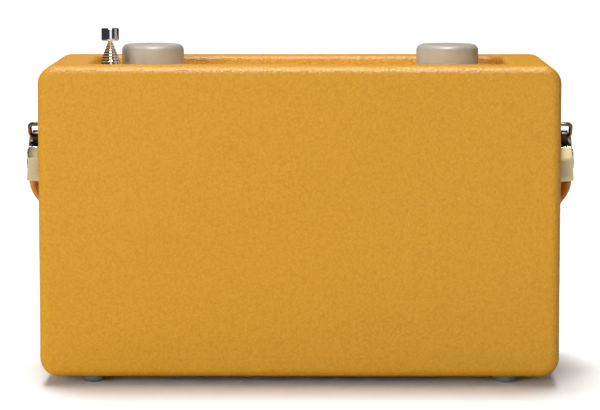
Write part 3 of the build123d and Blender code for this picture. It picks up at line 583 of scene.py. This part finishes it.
# ---------------------------------------------------------------- leather skin of the case
SKIN_GRID = 2.6 * MM  # size of the facets that the soft undulation is worked into
SKIN_WAVE = 0.11 * MM
source = nodes["leather_cover"].data
bm = bmesh.new()
bm.from_mesh(source)
bmesh.ops.remove_doubles(bm, verts=bm.verts, dist=2e-6)
bmesh.ops.dissolve_limit(bm, angle_limit=math.radians(0.5), verts=bm.verts, edges=bm.edges)
for axis in range(3):
    normal = Vector([1.0 if i == axis else 0.0 for i in range(3)])
    low, high = case_low[axis], case_high[axis]
    count = int((high - low) / SKIN_GRID)
    for step in range(1, count):
        place = low + (high - low) * step / count
        geometry = bm.verts[:] + bm.edges[:] + bm.faces[:]
        bmesh.ops.bisect_plane(bm, geom=geometry, plane_co=normal * place, plane_no=normal, dist=1e-6)
bm.normal_update()
case_centre = (case_low + case_high) / 2


def skin_wave(point):
    """How far the leather stands out of its flat, from broad waves and shorter puckers."""
    broad = noise_at(point * 55)
    pucker = noise_at(point * 170 + Vector((7, 3, 5)))
    return SKIN_WAVE * (0.62 * broad + 0.38 * pucker)


INNER_SKIN = 0.9 * MM  # nearer than this to the case's outside box counts as outside
for vert in bm.verts:
    offsets = [abs(vert.co[i] - case_centre[i]) - (case_high[i] - case_low[i]) / 2 for i in range(3)]
    if max(offsets) > -INNER_SKIN:
        vert.co += vert.normal * skin_wave(vert.co)
bmesh.ops.triangulate(bm, faces=[face for face in bm.faces if len(face.verts) > 4])
finish_piece("leather_skin", bm, leather, "case", ["leather_cover"], smooth_angle=50)

# ---------------------------------------------------------------- strap: its path, as in the CAD
PIVOT_Z = joint_place("strap_swing").z
FLARE, TURN_IN = math.radians(5.7), math.radians(28)
SLEEVE_START, SLEEVE_END, SLEEVE_X = 12 * MM, 32 * MM, 132.1 * MM
STRAP_START, STRAP_REACH, STRAP_CORNER = 18 * MM, 100 * MM, 25 * MM
IN_RADIUS, DOWN_RADIUS = 25 * MM, 18 * MM
PIN_DROP, PIN_X, PIN_RADIUS, PIN_BEND = 8.7 * MM, 133.85 * MM, 1 * MM, 2.2 * MM
KNUCKLE_X, KNUCKLE_END, KNUCKLE_RADIUS = 129.35 * MM, 132.75 * MM, 3 * MM
ALONG = Vector((0, -math.sin(HANDLE_LEAN), -math.cos(HANDLE_LEAN)))
WIDTHWAYS = Vector((0, math.cos(HANDLE_LEAN), -math.sin(HANDLE_LEAN)))


def handle_point(x, along, across=0.0):
    """A point in the handle's plane: across the radio, along the hanging strap, across its width."""
    return Vector((x, 0, PIVOT_Z)) + ALONG * along + WIDTHWAYS * across


def flared_x(along):
    """How far out the sleeve and the strap's end stand, so far along the strap."""
    return SLEEVE_X + (along - SLEEVE_START) * math.tan(FLARE)


def strap_side():
    """The strap's middle line on the +X side as (x, along, heading), from its end to the grip's middle."""
    line = []
    leaves = SLEEVE_END + 0.5 * MM
    for i in range(7):
        along = STRAP_START + (leaves - STRAP_START) * i / 6
        line.append((flared_x(along), along, FLARE))
    x0, y0 = flared_x(leaves), leaves
    for i in range(1, 11):
        h = FLARE - (FLARE + TURN_IN) * i / 10
        x = x0 - IN_RADIUS * (math.cos(FLARE) - math.cos(h))
        y = y0 + IN_RADIUS * (math.sin(FLARE) - math.sin(h))
        line.append((x, y, h))
    x0, y0 = line[-1][:2]
    for i in range(1, 8):
        h = -TURN_IN * (1 - i / 7)
        x = x0 - DOWN_RADIUS * (math.cos(h) - math.cos(TURN_IN))
        line.append((x, y0 + DOWN_RADIUS * (math.sin(h) + math.sin(TURN_IN)), h))
    leg_x, y0 = line[-1][:2]
    corner = STRAP_REACH - STRAP_CORNER
    line += [(leg_x, y0 + (corner - y0) * i / 8, 0.0) for i in range(1, 9)]
    for i in range(1, 15):
        h = math.radians(90) * i / 14
        x = leg_x - STRAP_CORNER * (1 - math.cos(h))
        line.append((x, corner + STRAP_CORNER * math.sin(h), -h))
    x0 = line[-1][0]
    line += [(x0 * (1 - i / 40), STRAP_REACH, -math.radians(90)) for i in range(1, 41)]
    return line


def strap_stations():
    """(centre, direction, outward) all along the strap, from the -X end to the +X end."""
    right = []
    for x, along, h in strap_side():
        centre = handle_point(x, along)
        direction = Vector((math.sin(h), 0, 0)) + ALONG * math.cos(h)
        outward = Vector((math.cos(h), 0, 0)) - ALONG * math.sin(h)
        right.append((centre, -direction, outward))
    left = [
        (Vector((-c.x, c.y, c.z)), Vector((d.x, -d.y, -d.z)), Vector((-o.x, o.y, o.z)))
        for c, d, o in right[:-1]
    ]
    return left + right[::-1]


STRAP_HALF, STRAP_THIN = 8 * MM, 1.75 * MM  # half its width and half its thickness
STITCH_INSET, STITCH_PITCH = 1.9 * MM, 3.3 * MM
STITCH_LENGTH, STITCH_RADIUS, STITCH_SINK = 2.5 * MM, 0.27 * MM, 0.18 * MM
EDGE_ROUND = 0.9 * MM
GROOVE_DEPTH, GROOVE_WIDTH, CROWN = 0.26 * MM, 0.45 * MM, 0.3 * MM


def strap_section():
    """The strap's outline as (across, outward): padded faces, a sunk stitch line, painted round edges."""
    half = []
    face_half = STRAP_HALF - EDGE_ROUND
    for i in range(25):
        a = -face_half + 2 * face_half * i / 24
        from_stitch = abs(abs(a) - (STRAP_HALF - STITCH_INSET))
        groove = GROOVE_DEPTH * math.exp(-((from_stitch / GROOVE_WIDTH) ** 2))
        crown = CROWN * (a / face_half) ** 4
        half.append((a, STRAP_THIN - groove - crown))
    level = half[-1][1]
    right = [
        (face_half + EDGE_ROUND * math.sin(math.radians(t)), level * math.cos(math.radians(t)))
        for t in range(15, 180, 15)
    ]
    other = [(-a, -b) for a, b in half]
    left = [(-a, -b) for a, b in right]
    return half + right + other + left, len(half), len(right)


section, face_count, edge_count = strap_section()
stations = strap_stations()
bm = bmesh.new()
sweep_section(bm, [(c, WIDTHWAYS, o) for c, d, o in stations], section)
bm.faces.ensure_lookup_table()
per_ring = len(section)
for index, face in enumerate(bm.faces):
    k = index % per_ring
    on_edge = face_count <= k < face_count + edge_count - 1 or k >= 2 * face_count + edge_count
    face.material_index = 1 if on_edge or len(face.verts) > 4 else 0
finish_piece(
    "strap_leather_band", bm, [strap_leather, strap_edge], "strap_handle", ["carrying_strap"],
    smooth_angle=60,
)


def capsule(bm, centre, direction, length, radius, sides=6):
    """A rod with domed ends, for a stitch."""
    profile = arc((0, -length / 2 + radius), radius, -90, 0, 2)
    profile += arc((0, length / 2 - radius), radius, 0, 90, 2)
    profile[0], profile[-1] = (0, profile[0][1]), (0, profile[-1][1])
    lathe(bm, profile, centre, direction, sides)


def along_stations(stations, pitch, margin):
    """Places at an even pitch along the strap but for its ends, as (centre, direction, outward)."""
    lengths = [0.0]
    for first, second in zip(stations, stations[1:]):
        lengths.append(lengths[-1] + (second[0] - first[0]).length)
    found, place, index = [], margin, 0
    while place < lengths[-1] - margin:
        while lengths[index + 1] < place:
            index += 1
        share = (place - lengths[index]) / (lengths[index + 1] - lengths[index])
        pairs = zip(stations[index], stations[index + 1])
        found.append([first.lerp(second, share) for first, second in pairs])
        place += pitch
    return found


bm = bmesh.new()
HIDDEN_END = 15.5 * MM  # of the strap, inside each sleeve
for centre, direction, outward in along_stations(stations, STITCH_PITCH, HIDDEN_END):
    for side in (-1, 1):
        for face in (-1, 1):
            place = centre + WIDTHWAYS * side * (STRAP_HALF - STITCH_INSET)
            place += outward.normalized() * face * (STRAP_THIN - STITCH_SINK)
            capsule(bm, place, direction.normalized(), STITCH_LENGTH, STITCH_RADIUS)
finish_piece("strap_stitching", bm, thread, "strap_handle")

# ---------------------------------------------------------------- strap fittings
SLEEVE_HALF, SLEEVE_THIN = 8.9 * MM, 2.75 * MM  # half its width and half its thickness
SLEEVE_LINER = 2 * MM  # more metal on the side towards the case
SLEEVE_NECK, SHOULDER = 4.5 * MM, 5 * MM  # half its width at the knuckle, and how soon it swells
SLEEVE_ROUND, SLEEVE_FIT = 0.4 * MM, 0.06 * MM
WIRE_GAP = 0.05 * MM  # round the pin in the knuckle
STUD_START, STUD_LIP = 111.8 * MM, 0.1 * MM
SIDES = (("left", -1), ("right", 1))


def shoulder_half(along):
    """Half of the sleeve's width: narrow at the knuckle, swelling to its full width."""
    share = min(max((along - SLEEVE_START) / SHOULDER, 0), 1)
    return SLEEVE_NECK + (SLEEVE_HALF - SLEEVE_NECK) * (share * share * (3 - 2 * share)) ** 0.8


def outward_from(side):
    """Square to the sleeve's outer face, on one side of the radio."""
    return Vector((side * math.cos(FLARE), 0, 0)) - ALONG * math.sin(FLARE)


def folded_sleeve(side_name, side):
    """A metal sleeve folded round the strap's end, open where the strap comes out."""
    outward = outward_from(side)
    bm = bmesh.new()

    def ring(along, outline, liner):
        centre = handle_point(side * flared_x(along), along) - outward * liner / 2
        return [bm.verts.new(centre + WIDTHWAYS * a + outward * b) for a, b in outline]

    def outer_ring(along, inset=0):
        half, thin = shoulder_half(along) - inset, SLEEVE_THIN + SLEEVE_LINER / 2 - inset
        return ring(along, rounded_outline(half, thin, SLEEVE_ROUND), SLEEVE_LINER)

    def inner_ring(along):
        half, thin = STRAP_HALF + SLEEVE_FIT, STRAP_THIN + SLEEVE_FIT
        return ring(along, rounded_outline(half, thin, 0.6 * MM), 0.0)

    rings = [outer_ring(SLEEVE_START, 0.35 * MM), outer_ring(SLEEVE_START + 0.1 * MM, 0.1 * MM)]
    for i in range(13):
        rings.append(outer_ring(SLEEVE_START + 0.45 * MM + i * 0.42 * MM))
    for share in (0.25, 0.5, 0.75):
        rings.append(outer_ring(SLEEVE_START + 5.5 * MM + share * 14 * MM))
    rings.append(outer_ring(SLEEVE_END - 0.35 * MM))
    rings.append(outer_ring(SLEEVE_END - 0.08 * MM, 0.12 * MM))
    rings.append(outer_ring(SLEEVE_END, 0.4 * MM))
    rings += [inner_ring(SLEEVE_END - 0.1 * MM), inner_ring(SLEEVE_END - 9 * MM)]
    join_rings(bm, rings)
    knuckle_end, _ = close_ends(bm, rings)
    # The sleeve's end face at the knuckle takes the near-black gilt: painted shade.
    knuckle_end.material_index = 1
    finish_piece(
        f"{side_name}_folded_sleeve", bm, [gilt_sleeve, shade_painted_gilt], "strap_handle",
        [f"{side_name}_strap_sleeve"], smooth_angle=45,
    )


def knuckle(side_name, side):
    """A rolled eye with a short neck, closed round the pin."""
    bm = bmesh.new()
    length, edge, bore = KNUCKLE_END - KNUCKLE_X, 0.4 * MM, PIN_RADIUS + WIRE_GAP
    eye = [(bore, 0.2 * MM)] + arc((KNUCKLE_RADIUS - edge, edge), edge, 270, 360, 4)
    eye += arc((KNUCKLE_RADIUS - edge, length - edge), edge, 0, 90, 4)
    eye += [(bore, length - 0.2 * MM), (bore, 0.2 * MM)]
    lathe(bm, eye, handle_point(side * KNUCKLE_X, PIN_DROP), (side, 0, 0), 48)
    middle = handle_point(side * (KNUCKLE_X + length / 2), PIN_DROP + 1.6 * MM)
    axes = Matrix(((side, 0, 0), WIDTHWAYS, ALONG)).transposed()
    neck = Matrix.Translation(middle) @ axes.to_4x4()
    rounded_prism(bm, neck, length / 2 - 0.05 * MM, 2.5 * MM, 2.6 * MM, 0.6 * MM, 0.25 * MM)
    # The knuckle in near-black gilt: painted shade and painted reflection.
    finish_piece(f"{side_name}_knuckle", bm, shade_painted_gilt, "strap_handle")


def bent_pin(side_name, side):
    """The swivel pin: a bent wire from the stud, down, and back through the knuckle."""
    upper = arc((PIN_X - PIN_BEND, PIN_BEND), PIN_BEND, 270, 360, 8)
    lower = arc((PIN_X - PIN_BEND, PIN_DROP - PIN_BEND), PIN_BEND, 0, 90, 8)
    route = [(122 * MM, 0.0), (128 * MM, 0.0)] + upper + lower
    route.append((KNUCKLE_X + 0.35 * MM, PIN_DROP))
    stations_3d = []
    for i, (x, along) in enumerate(route):
        before, after = route[max(i - 1, 0)], route[min(i + 1, len(route) - 1)]
        tx, ty = after[0] - before[0], after[1] - before[1]
        size = math.hypot(tx, ty)
        tangent = Vector((side * tx / size, 0, 0)) + ALONG * (ty / size)
        stations_3d.append((handle_point(side * x, along), WIDTHWAYS, tangent.cross(WIDTHWAYS)))
    bm = bmesh.new()
    sweep_section(bm, stations_3d, arc((0, 0), PIN_RADIUS, 0, 360, 24)[:-1])
    # The pin in darkened gilt: in part painted reflection.
    finish_piece(f"{side_name}_bent_pin", bm, reflection_painted_gilt, "strap_handle", [f"{side_name}_swivel_pin"])


def stud_rosette(side_name, side):
    """A stepped rosette on the leather, and its neck through the cabinet's side."""
    outer = case_high.x - STUD_START
    profile = [(0, 0), (2.7 * MM, 0), (3 * MM, 0.3 * MM), (3 * MM, outer - STUD_LIP)]
    profile.append((7.1 * MM, outer - STUD_LIP))
    profile += arc((7.0 * MM, outer + 0.5 * MM), 0.5 * MM, 0, 90, 4)
    profile += [(6.2 * MM, outer + 1.0 * MM), (6.0 * MM, outer + 0.8 * MM), (5.6 * MM, outer + 0.8 * MM)]
    profile += arc((4.9 * MM, outer + 0.9 * MM), 0.5 * MM, 0, 90, 4) + [(3.2 * MM, outer + 1.4 * MM)]
    profile += [(2.7 * MM, outer + 1.6 * MM)] + arc((2.0 * MM, outer + 2.7 * MM), 0.3 * MM, 0, 90, 4)
    profile += [(1.06 * MM, outer + 3 * MM), (1.06 * MM, outer - 3.1 * MM), (0, outer - 3.1 * MM)]
    bm = lathe(bmesh.new(), profile, (side * STUD_START, 0, PIVOT_Z), (side, 0, 0), 72)
    finish_piece(f"{side_name}_stud_rosette", bm, gilt_polished, "case", [f"{side_name}_handle_stud"])


for side_name, side in SIDES:
    folded_sleeve(side_name, side)
    knuckle(side_name, side)
    bent_pin(side_name, side)
    stud_rosette(side_name, side)

RIVET_PLACES = (21.5 * MM, 28.5 * MM)
RIVET_DOME = 0.7 * MM
bm = bmesh.new()
for _, side in SIDES:
    for along in RIVET_PLACES:
        head = arc((1.9 * MM, SLEEVE_THIN + 0.1 * MM), 0.6 * MM, 0, 60, 4)
        top = SLEEVE_THIN + RIVET_DOME
        upper = [(1.5 * MM, SLEEVE_THIN), (2.5 * MM, SLEEVE_THIN)] + head
        upper += [(1.4 * MM, SLEEVE_THIN + 0.66 * MM), (0.7 * MM, top), (0, top)]
        lower = [(r, -h - SLEEVE_LINER) for r, h in reversed(upper)]
        centre = handle_point(side * flared_x(along), along)
        lathe(bm, lower + upper, centre, outward_from(side), 32)
finish_piece("domed_rivets", bm, gilt_polished, "strap_handle", ["sleeve_rivets"])

# ---------------------------------------------------------------- front: cloth and display bezel
low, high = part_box("grille_cloth")
window_low, window_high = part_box("display_window")
HOLE_GAP = 0.15 * MM
columns, rows_up = 132, 72
TUCK_DEPTH, TUCK_WIDTH = 0.8 * MM, 1.1 * MM
SPEAKER_X, SPEAKER_Z, SPEAKER_OPENING = 62 * MM, 83.5 * MM, 28 * MM
SLACK, RIPPLE = 0.35 * MM, 0.05 * MM
xs = [low.x + (high.x - low.x) * i / columns for i in range(columns + 1)]
zs = [low.z + (high.z - low.z) * i / rows_up for i in range(rows_up + 1)]
hole = (window_low.x - HOLE_GAP, window_high.x + HOLE_GAP, window_low.z - HOLE_GAP, window_high.z + HOLE_GAP)
for values, edges in ((xs, hole[:2]), (zs, hole[2:])):
    for edge in edges:
        nearest = min(range(len(values)), key=lambda i: abs(values[i] - edge))
        values[nearest] = edge


def cloth_dip(x, z):
    """How far the stretched cloth lies behind its fullest, near its tucked edges and over the openings."""
    to_edge = min(x - low.x, high.x - x, z - low.z, high.z - z)
    to_hole = max(hole[0] - x, x - hole[1], hole[2] - z, z - hole[3])
    near = min(to_edge, max(to_hole, 0))
    tuck = TUCK_DEPTH * math.exp(-((near / TUCK_WIDTH) ** 2))
    slack = 0.0
    for speaker_x in (-SPEAKER_X, SPEAKER_X):
        away = math.hypot(x - speaker_x, z - SPEAKER_Z) / SPEAKER_OPENING
        slack += SLACK * max(0, 1 - away**2)
    ripple = RIPPLE * noise_at(Vector((x, 0, z)) * 90)
    return tuck + slack + ripple


bm = bmesh.new()
front, back = {}, {}
for i, x in enumerate(xs):
    for j, z in enumerate(zs):
        front[i, j] = bm.verts.new((x, low.y + cloth_dip(x, z), z))
        back[i, j] = bm.verts.new((x, high.y, z))


def in_hole(i, j):
    """Whether a square of the cloth's grid lies in the window's hole."""
    x, z = (xs[i] + xs[i + 1]) / 2, (zs[j] + zs[j + 1]) / 2
    return hole[0] < x < hole[1] and hole[2] < z < hole[3]


for i in range(columns):
    for j in range(rows_up):
        if in_hole(i, j):
            continue
        square = [(i, j), (i + 1, j), (i + 1, j + 1), (i, j + 1)]
        bm.faces.new([front[k] for k in square])
        bm.faces.new([back[k] for k in reversed(square)])
        for (di, dj), (p, q) in (((0, -1), (0, 1)), ((1, 0), (1, 2)), ((0, 1), (2, 3)), ((-1, 0), (3, 0))):
            ni, nj = i + di, j + dj
            outside = not (0 <= ni < columns and 0 <= nj < rows_up) or in_hole(ni, nj)
            if outside:
                p, q = square[p], square[q]
                bm.faces.new((front[q], front[p], back[p], back[q]))
stray = [vert for vert in bm.verts if not vert.link_faces]
bmesh.ops.delete(bm, geom=stray, context="VERTS")
speaker_cloth = finish_piece("speaker_cloth", bm, cloth, "case", ["grille_cloth"])

BEZEL_CORNER = 2 * MM
# In mm: out from the window, and back from the cloth's front.
BEZEL_SECTION = ((0.02, 0.3), (0.02, -0.75), (0.3, -1.1), (0.9, -1.1), (1.25, -0.8), (1.3, 0.3))
middle = (window_low + window_high) / 2
half_x, half_z = (window_high.x - window_low.x) / 2, (window_high.z - window_low.z) / 2
bm = bmesh.new()
rings = []
for grow, forward in BEZEL_SECTION:
    grow, y = grow * MM, low.y + forward * MM
    outline = rounded_outline(half_x + grow, half_z + grow, BEZEL_CORNER + grow, 8)
    rings.append([bm.verts.new((middle.x + a, y, middle.z + b)) for a, b in outline])
join_rings(bm, rings + rings[:1])
finish_piece("display_bezel", bm, gilt_brushed, "case")

# ---------------------------------------------------------------- top: dots by knobs and buttons
plate_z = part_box("control_plate")[1].z
bm = bmesh.new()
SCALE_DOTS, SCALE_RADIUS = 11, 18.8 * MM
DOT_PITCH, DOTS_AHEAD = 1.8 * MM, 7.5 * MM
dot = [(0, -0.1 * MM), (0.6 * MM, -0.1 * MM)]
dot += arc((0.35 * MM, 0), 0.25 * MM, 0, 90, 3) + [(0, 0.25 * MM)]
for knob_name in ("volume_knob", "tuning_knob"):
    knob_low, knob_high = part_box(knob_name)
    centre = (knob_low + knob_high) / 2
    for i in range(SCALE_DOTS):
        angle = math.radians(-60 + 30 * i)
        x, y = centre.x + SCALE_RADIUS * math.cos(angle), centre.y + SCALE_RADIUS * math.sin(angle)
        lathe(bm, dot, (x, y, plate_z), segments=16)
for number in range(1, 6):
    button_low, button_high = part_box(f"preset_button_{number}")
    centre = (button_low + button_high) / 2
    for k in range(number):
        x = centre.x + (k - (number - 1) / 2) * DOT_PITCH
        lathe(bm, dot, (x, centre.y - DOTS_AHEAD, plate_z), segments=16)
finish_piece("scale_dots", bm, black, "case")

# ---------------------------------------------------------------- bottom: feet and the door's grip
low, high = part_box("feet")
FOOT_RADIUS, FOOT_ROUND = 5.4 * MM, 2.1 * MM
bm = bmesh.new()
for x in (low.x + FOOT_RADIUS, high.x - FOOT_RADIUS):
    for y in (low.y + FOOT_RADIUS, high.y - FOOT_RADIUS):
        profile = [(0, 0)] + [(0.9 * MM * k, 0.02 * MM * k * k / 9) for k in (1, 2, 3)]
        profile += arc((FOOT_RADIUS - FOOT_ROUND, FOOT_ROUND), FOOT_ROUND, 285, 360, 8)
        profile += [(FOOT_RADIUS, high.z - 0.3 * MM), (FOOT_RADIUS - 0.15 * MM, high.z), (0, high.z)]
        lathe(bm, profile, (x, y, 0), segments=64)
finish_piece("foot_domes", bm, rubber, "case", ["feet"])

low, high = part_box("battery_door")
GRIP_RIBS, RIB_START, RIB_PITCH, RIB_DROP = 6, 6 * MM, 2.2 * MM, 0.45 * MM
RIB_HALF_X, RIB_HALF_Y, RIB_HEIGHT = 14 * MM, 0.55 * MM, 0.7 * MM
bm = bmesh.new()
for i in range(GRIP_RIBS):
    place = Matrix.Translation((0, low.y + RIB_START + i * RIB_PITCH, low.z - RIB_DROP))
    rounded_prism(bm, place, RIB_HALF_X, RIB_HALF_Y, RIB_HEIGHT, 0.5 * MM, 0.2 * MM, 4)
finish_piece("door_grip_ribs", bm, black, "battery_door")

# ---------------------------------------------------------------- floor and light
FLOOR_SIZE, FLOOR_GAP = 60, 1 * MM
FLOOR_BOUNCE = 0.55  # of the light that the floor throws back up, as a smaller table would


def floor_plane(name, height, brightness):
    """A matt floor of one brightness."""
    bpy.ops.mesh.primitive_plane_add(size=FLOOR_SIZE, location=(0, 0, height))
    plane = bpy.context.object
    plane.name = name
    material, tree, shader = new_material(name)
    shader.inputs["Base Color"].default_value = (brightness, brightness, brightness, 1)
    shader.inputs["Roughness"].default_value = 0.9
    shader.inputs["Specular IOR Level"].default_value = 0.0
    plane.data.materials.append(material)
    return plane


floor = floor_plane("floor", 0, 1.0)
for ray in ("diffuse", "glossy", "transmission", "volume_scatter", "shadow"):
    setattr(floor, f"visible_{ray}", False)
bounce = floor_plane("floor_bounce", -FLOOR_GAP, FLOOR_BOUNCE)  # what the radio itself is lit by
bounce.visible_camera = False

WORLD_LIGHT = 0.14
world = bpy.data.worlds.new("studio")
bpy.context.scene.world = world
world.use_nodes = True
background = world.node_tree.nodes["Background"]
background.inputs["Color"].default_value = (1, 1, 1, 1)
background.inputs["Strength"].default_value = WORLD_LIGHT


def aimed(name, data, place, target):
    """Puts a light at a place and turns it to a target."""
    light = bpy.data.objects.new(name, data)
    bpy.context.scene.collection.objects.link(light)
    light.location = place
    light.rotation_euler = (Vector(target) - Vector(place)).to_track_quat("-Z", "Y").to_euler()
    return light


def area_light(name, place, target, size, power):
    """A square soft box aimed at a point."""
    data = bpy.data.lights.new(name, "AREA")
    data.size, data.energy = size, power
    return aimed(name, data, place, target)


OVERHEAD_POWER, OVERHEAD_SIZE = 3.4, math.radians(26)
overhead = bpy.data.lights.new("overhead", "SUN")
overhead.energy, overhead.angle = OVERHEAD_POWER, OVERHEAD_SIZE
sun = aimed("overhead", overhead, (0.15, -0.76, 3), (0, 0, 0))
sun.visible_glossy = False  # the gleam below shines in its stead
gleam = area_light("edge_gleam", (0, 0.55, 1.6), (0, 0, 0.15), size=0.6, power=58)
gleam.visible_diffuse = False  # it adds shine only, mostly along the rounded edges
key = area_light("key", (0.95, 1.75, 0.40), (0, 0, 0.08), size=0.8, power=26)
key.visible_glossy = False  # the panels below are what shines in the metal

# A ring that only reflections see: dark, with soft bright panels, each given as
# (degrees from +Y, half its width in degrees, strength).
SCREEN_RADIUS, SCREEN_FOOT, SCREEN_HEIGHT, SCREEN_SIDES = 0.95, 1 * MM, 1.3, 96
PANELS = ((-6, 15, 1.1), (-80, 20, 0.45), (180, 14, 0.5))
SCREEN_DARK, PANEL_FADE = 0.05, math.radians(4)
material, tree, shader = new_material("reflection_panels")
tree.nodes.remove(shader)
source = add_node(tree, "ShaderNodeTexCoord")
parts = add_node(tree, "ShaderNodeSeparateXYZ")
tree.links.new(source.outputs["Object"], parts.inputs[0])
azimuth = combine(tree, "ARCTAN2", parts.outputs["X"], parts.outputs["Y"])
level = None
for centre, half, strength in PANELS:
    away = combine(tree, "SUBTRACT", azimuth, math.radians(centre))
    away = combine(tree, "ABSOLUTE", away, 0)
    edge = combine(tree, "SUBTRACT", math.radians(half), away)
    edge = combine(tree, "DIVIDE", edge, PANEL_FADE)
    edge = combine(tree, "MAXIMUM", combine(tree, "MINIMUM", edge, 1), 0)
    edge = combine(tree, "MULTIPLY", edge, strength)
    level = edge if level is None else combine(tree, "ADD", level, edge)
level = combine(tree, "ADD", level, SCREEN_DARK)
glow = add_node(tree, "ShaderNodeEmission", Color=(1, 1, 1, 1))
tree.links.new(level, glow.inputs["Strength"])
tree.links.new(glow.outputs[0], tree.nodes["Material Output"].inputs["Surface"])
bm = bmesh.new()
round_screen = arc((0, 0), SCREEN_RADIUS, 90, -270, SCREEN_SIDES)[:-1]
rings = [[bm.verts.new((x, y, z)) for x, y in round_screen] for z in (SCREEN_FOOT, SCREEN_HEIGHT)]
join_rings(bm, rings)
mesh = bpy.data.meshes.new("reflection_screen")
bm.to_mesh(mesh)
bm.free()
mesh.materials.append(material)
screen = bpy.data.objects.new("reflection_screen", mesh)
bpy.context.scene.collection.objects.link(screen)
for ray in ("camera", "diffuse", "transmission", "volume_scatter", "shadow"):
    setattr(screen, f"visible_{ray}", False)

bpy.context.scene.view_settings.view_transform = "Standard"
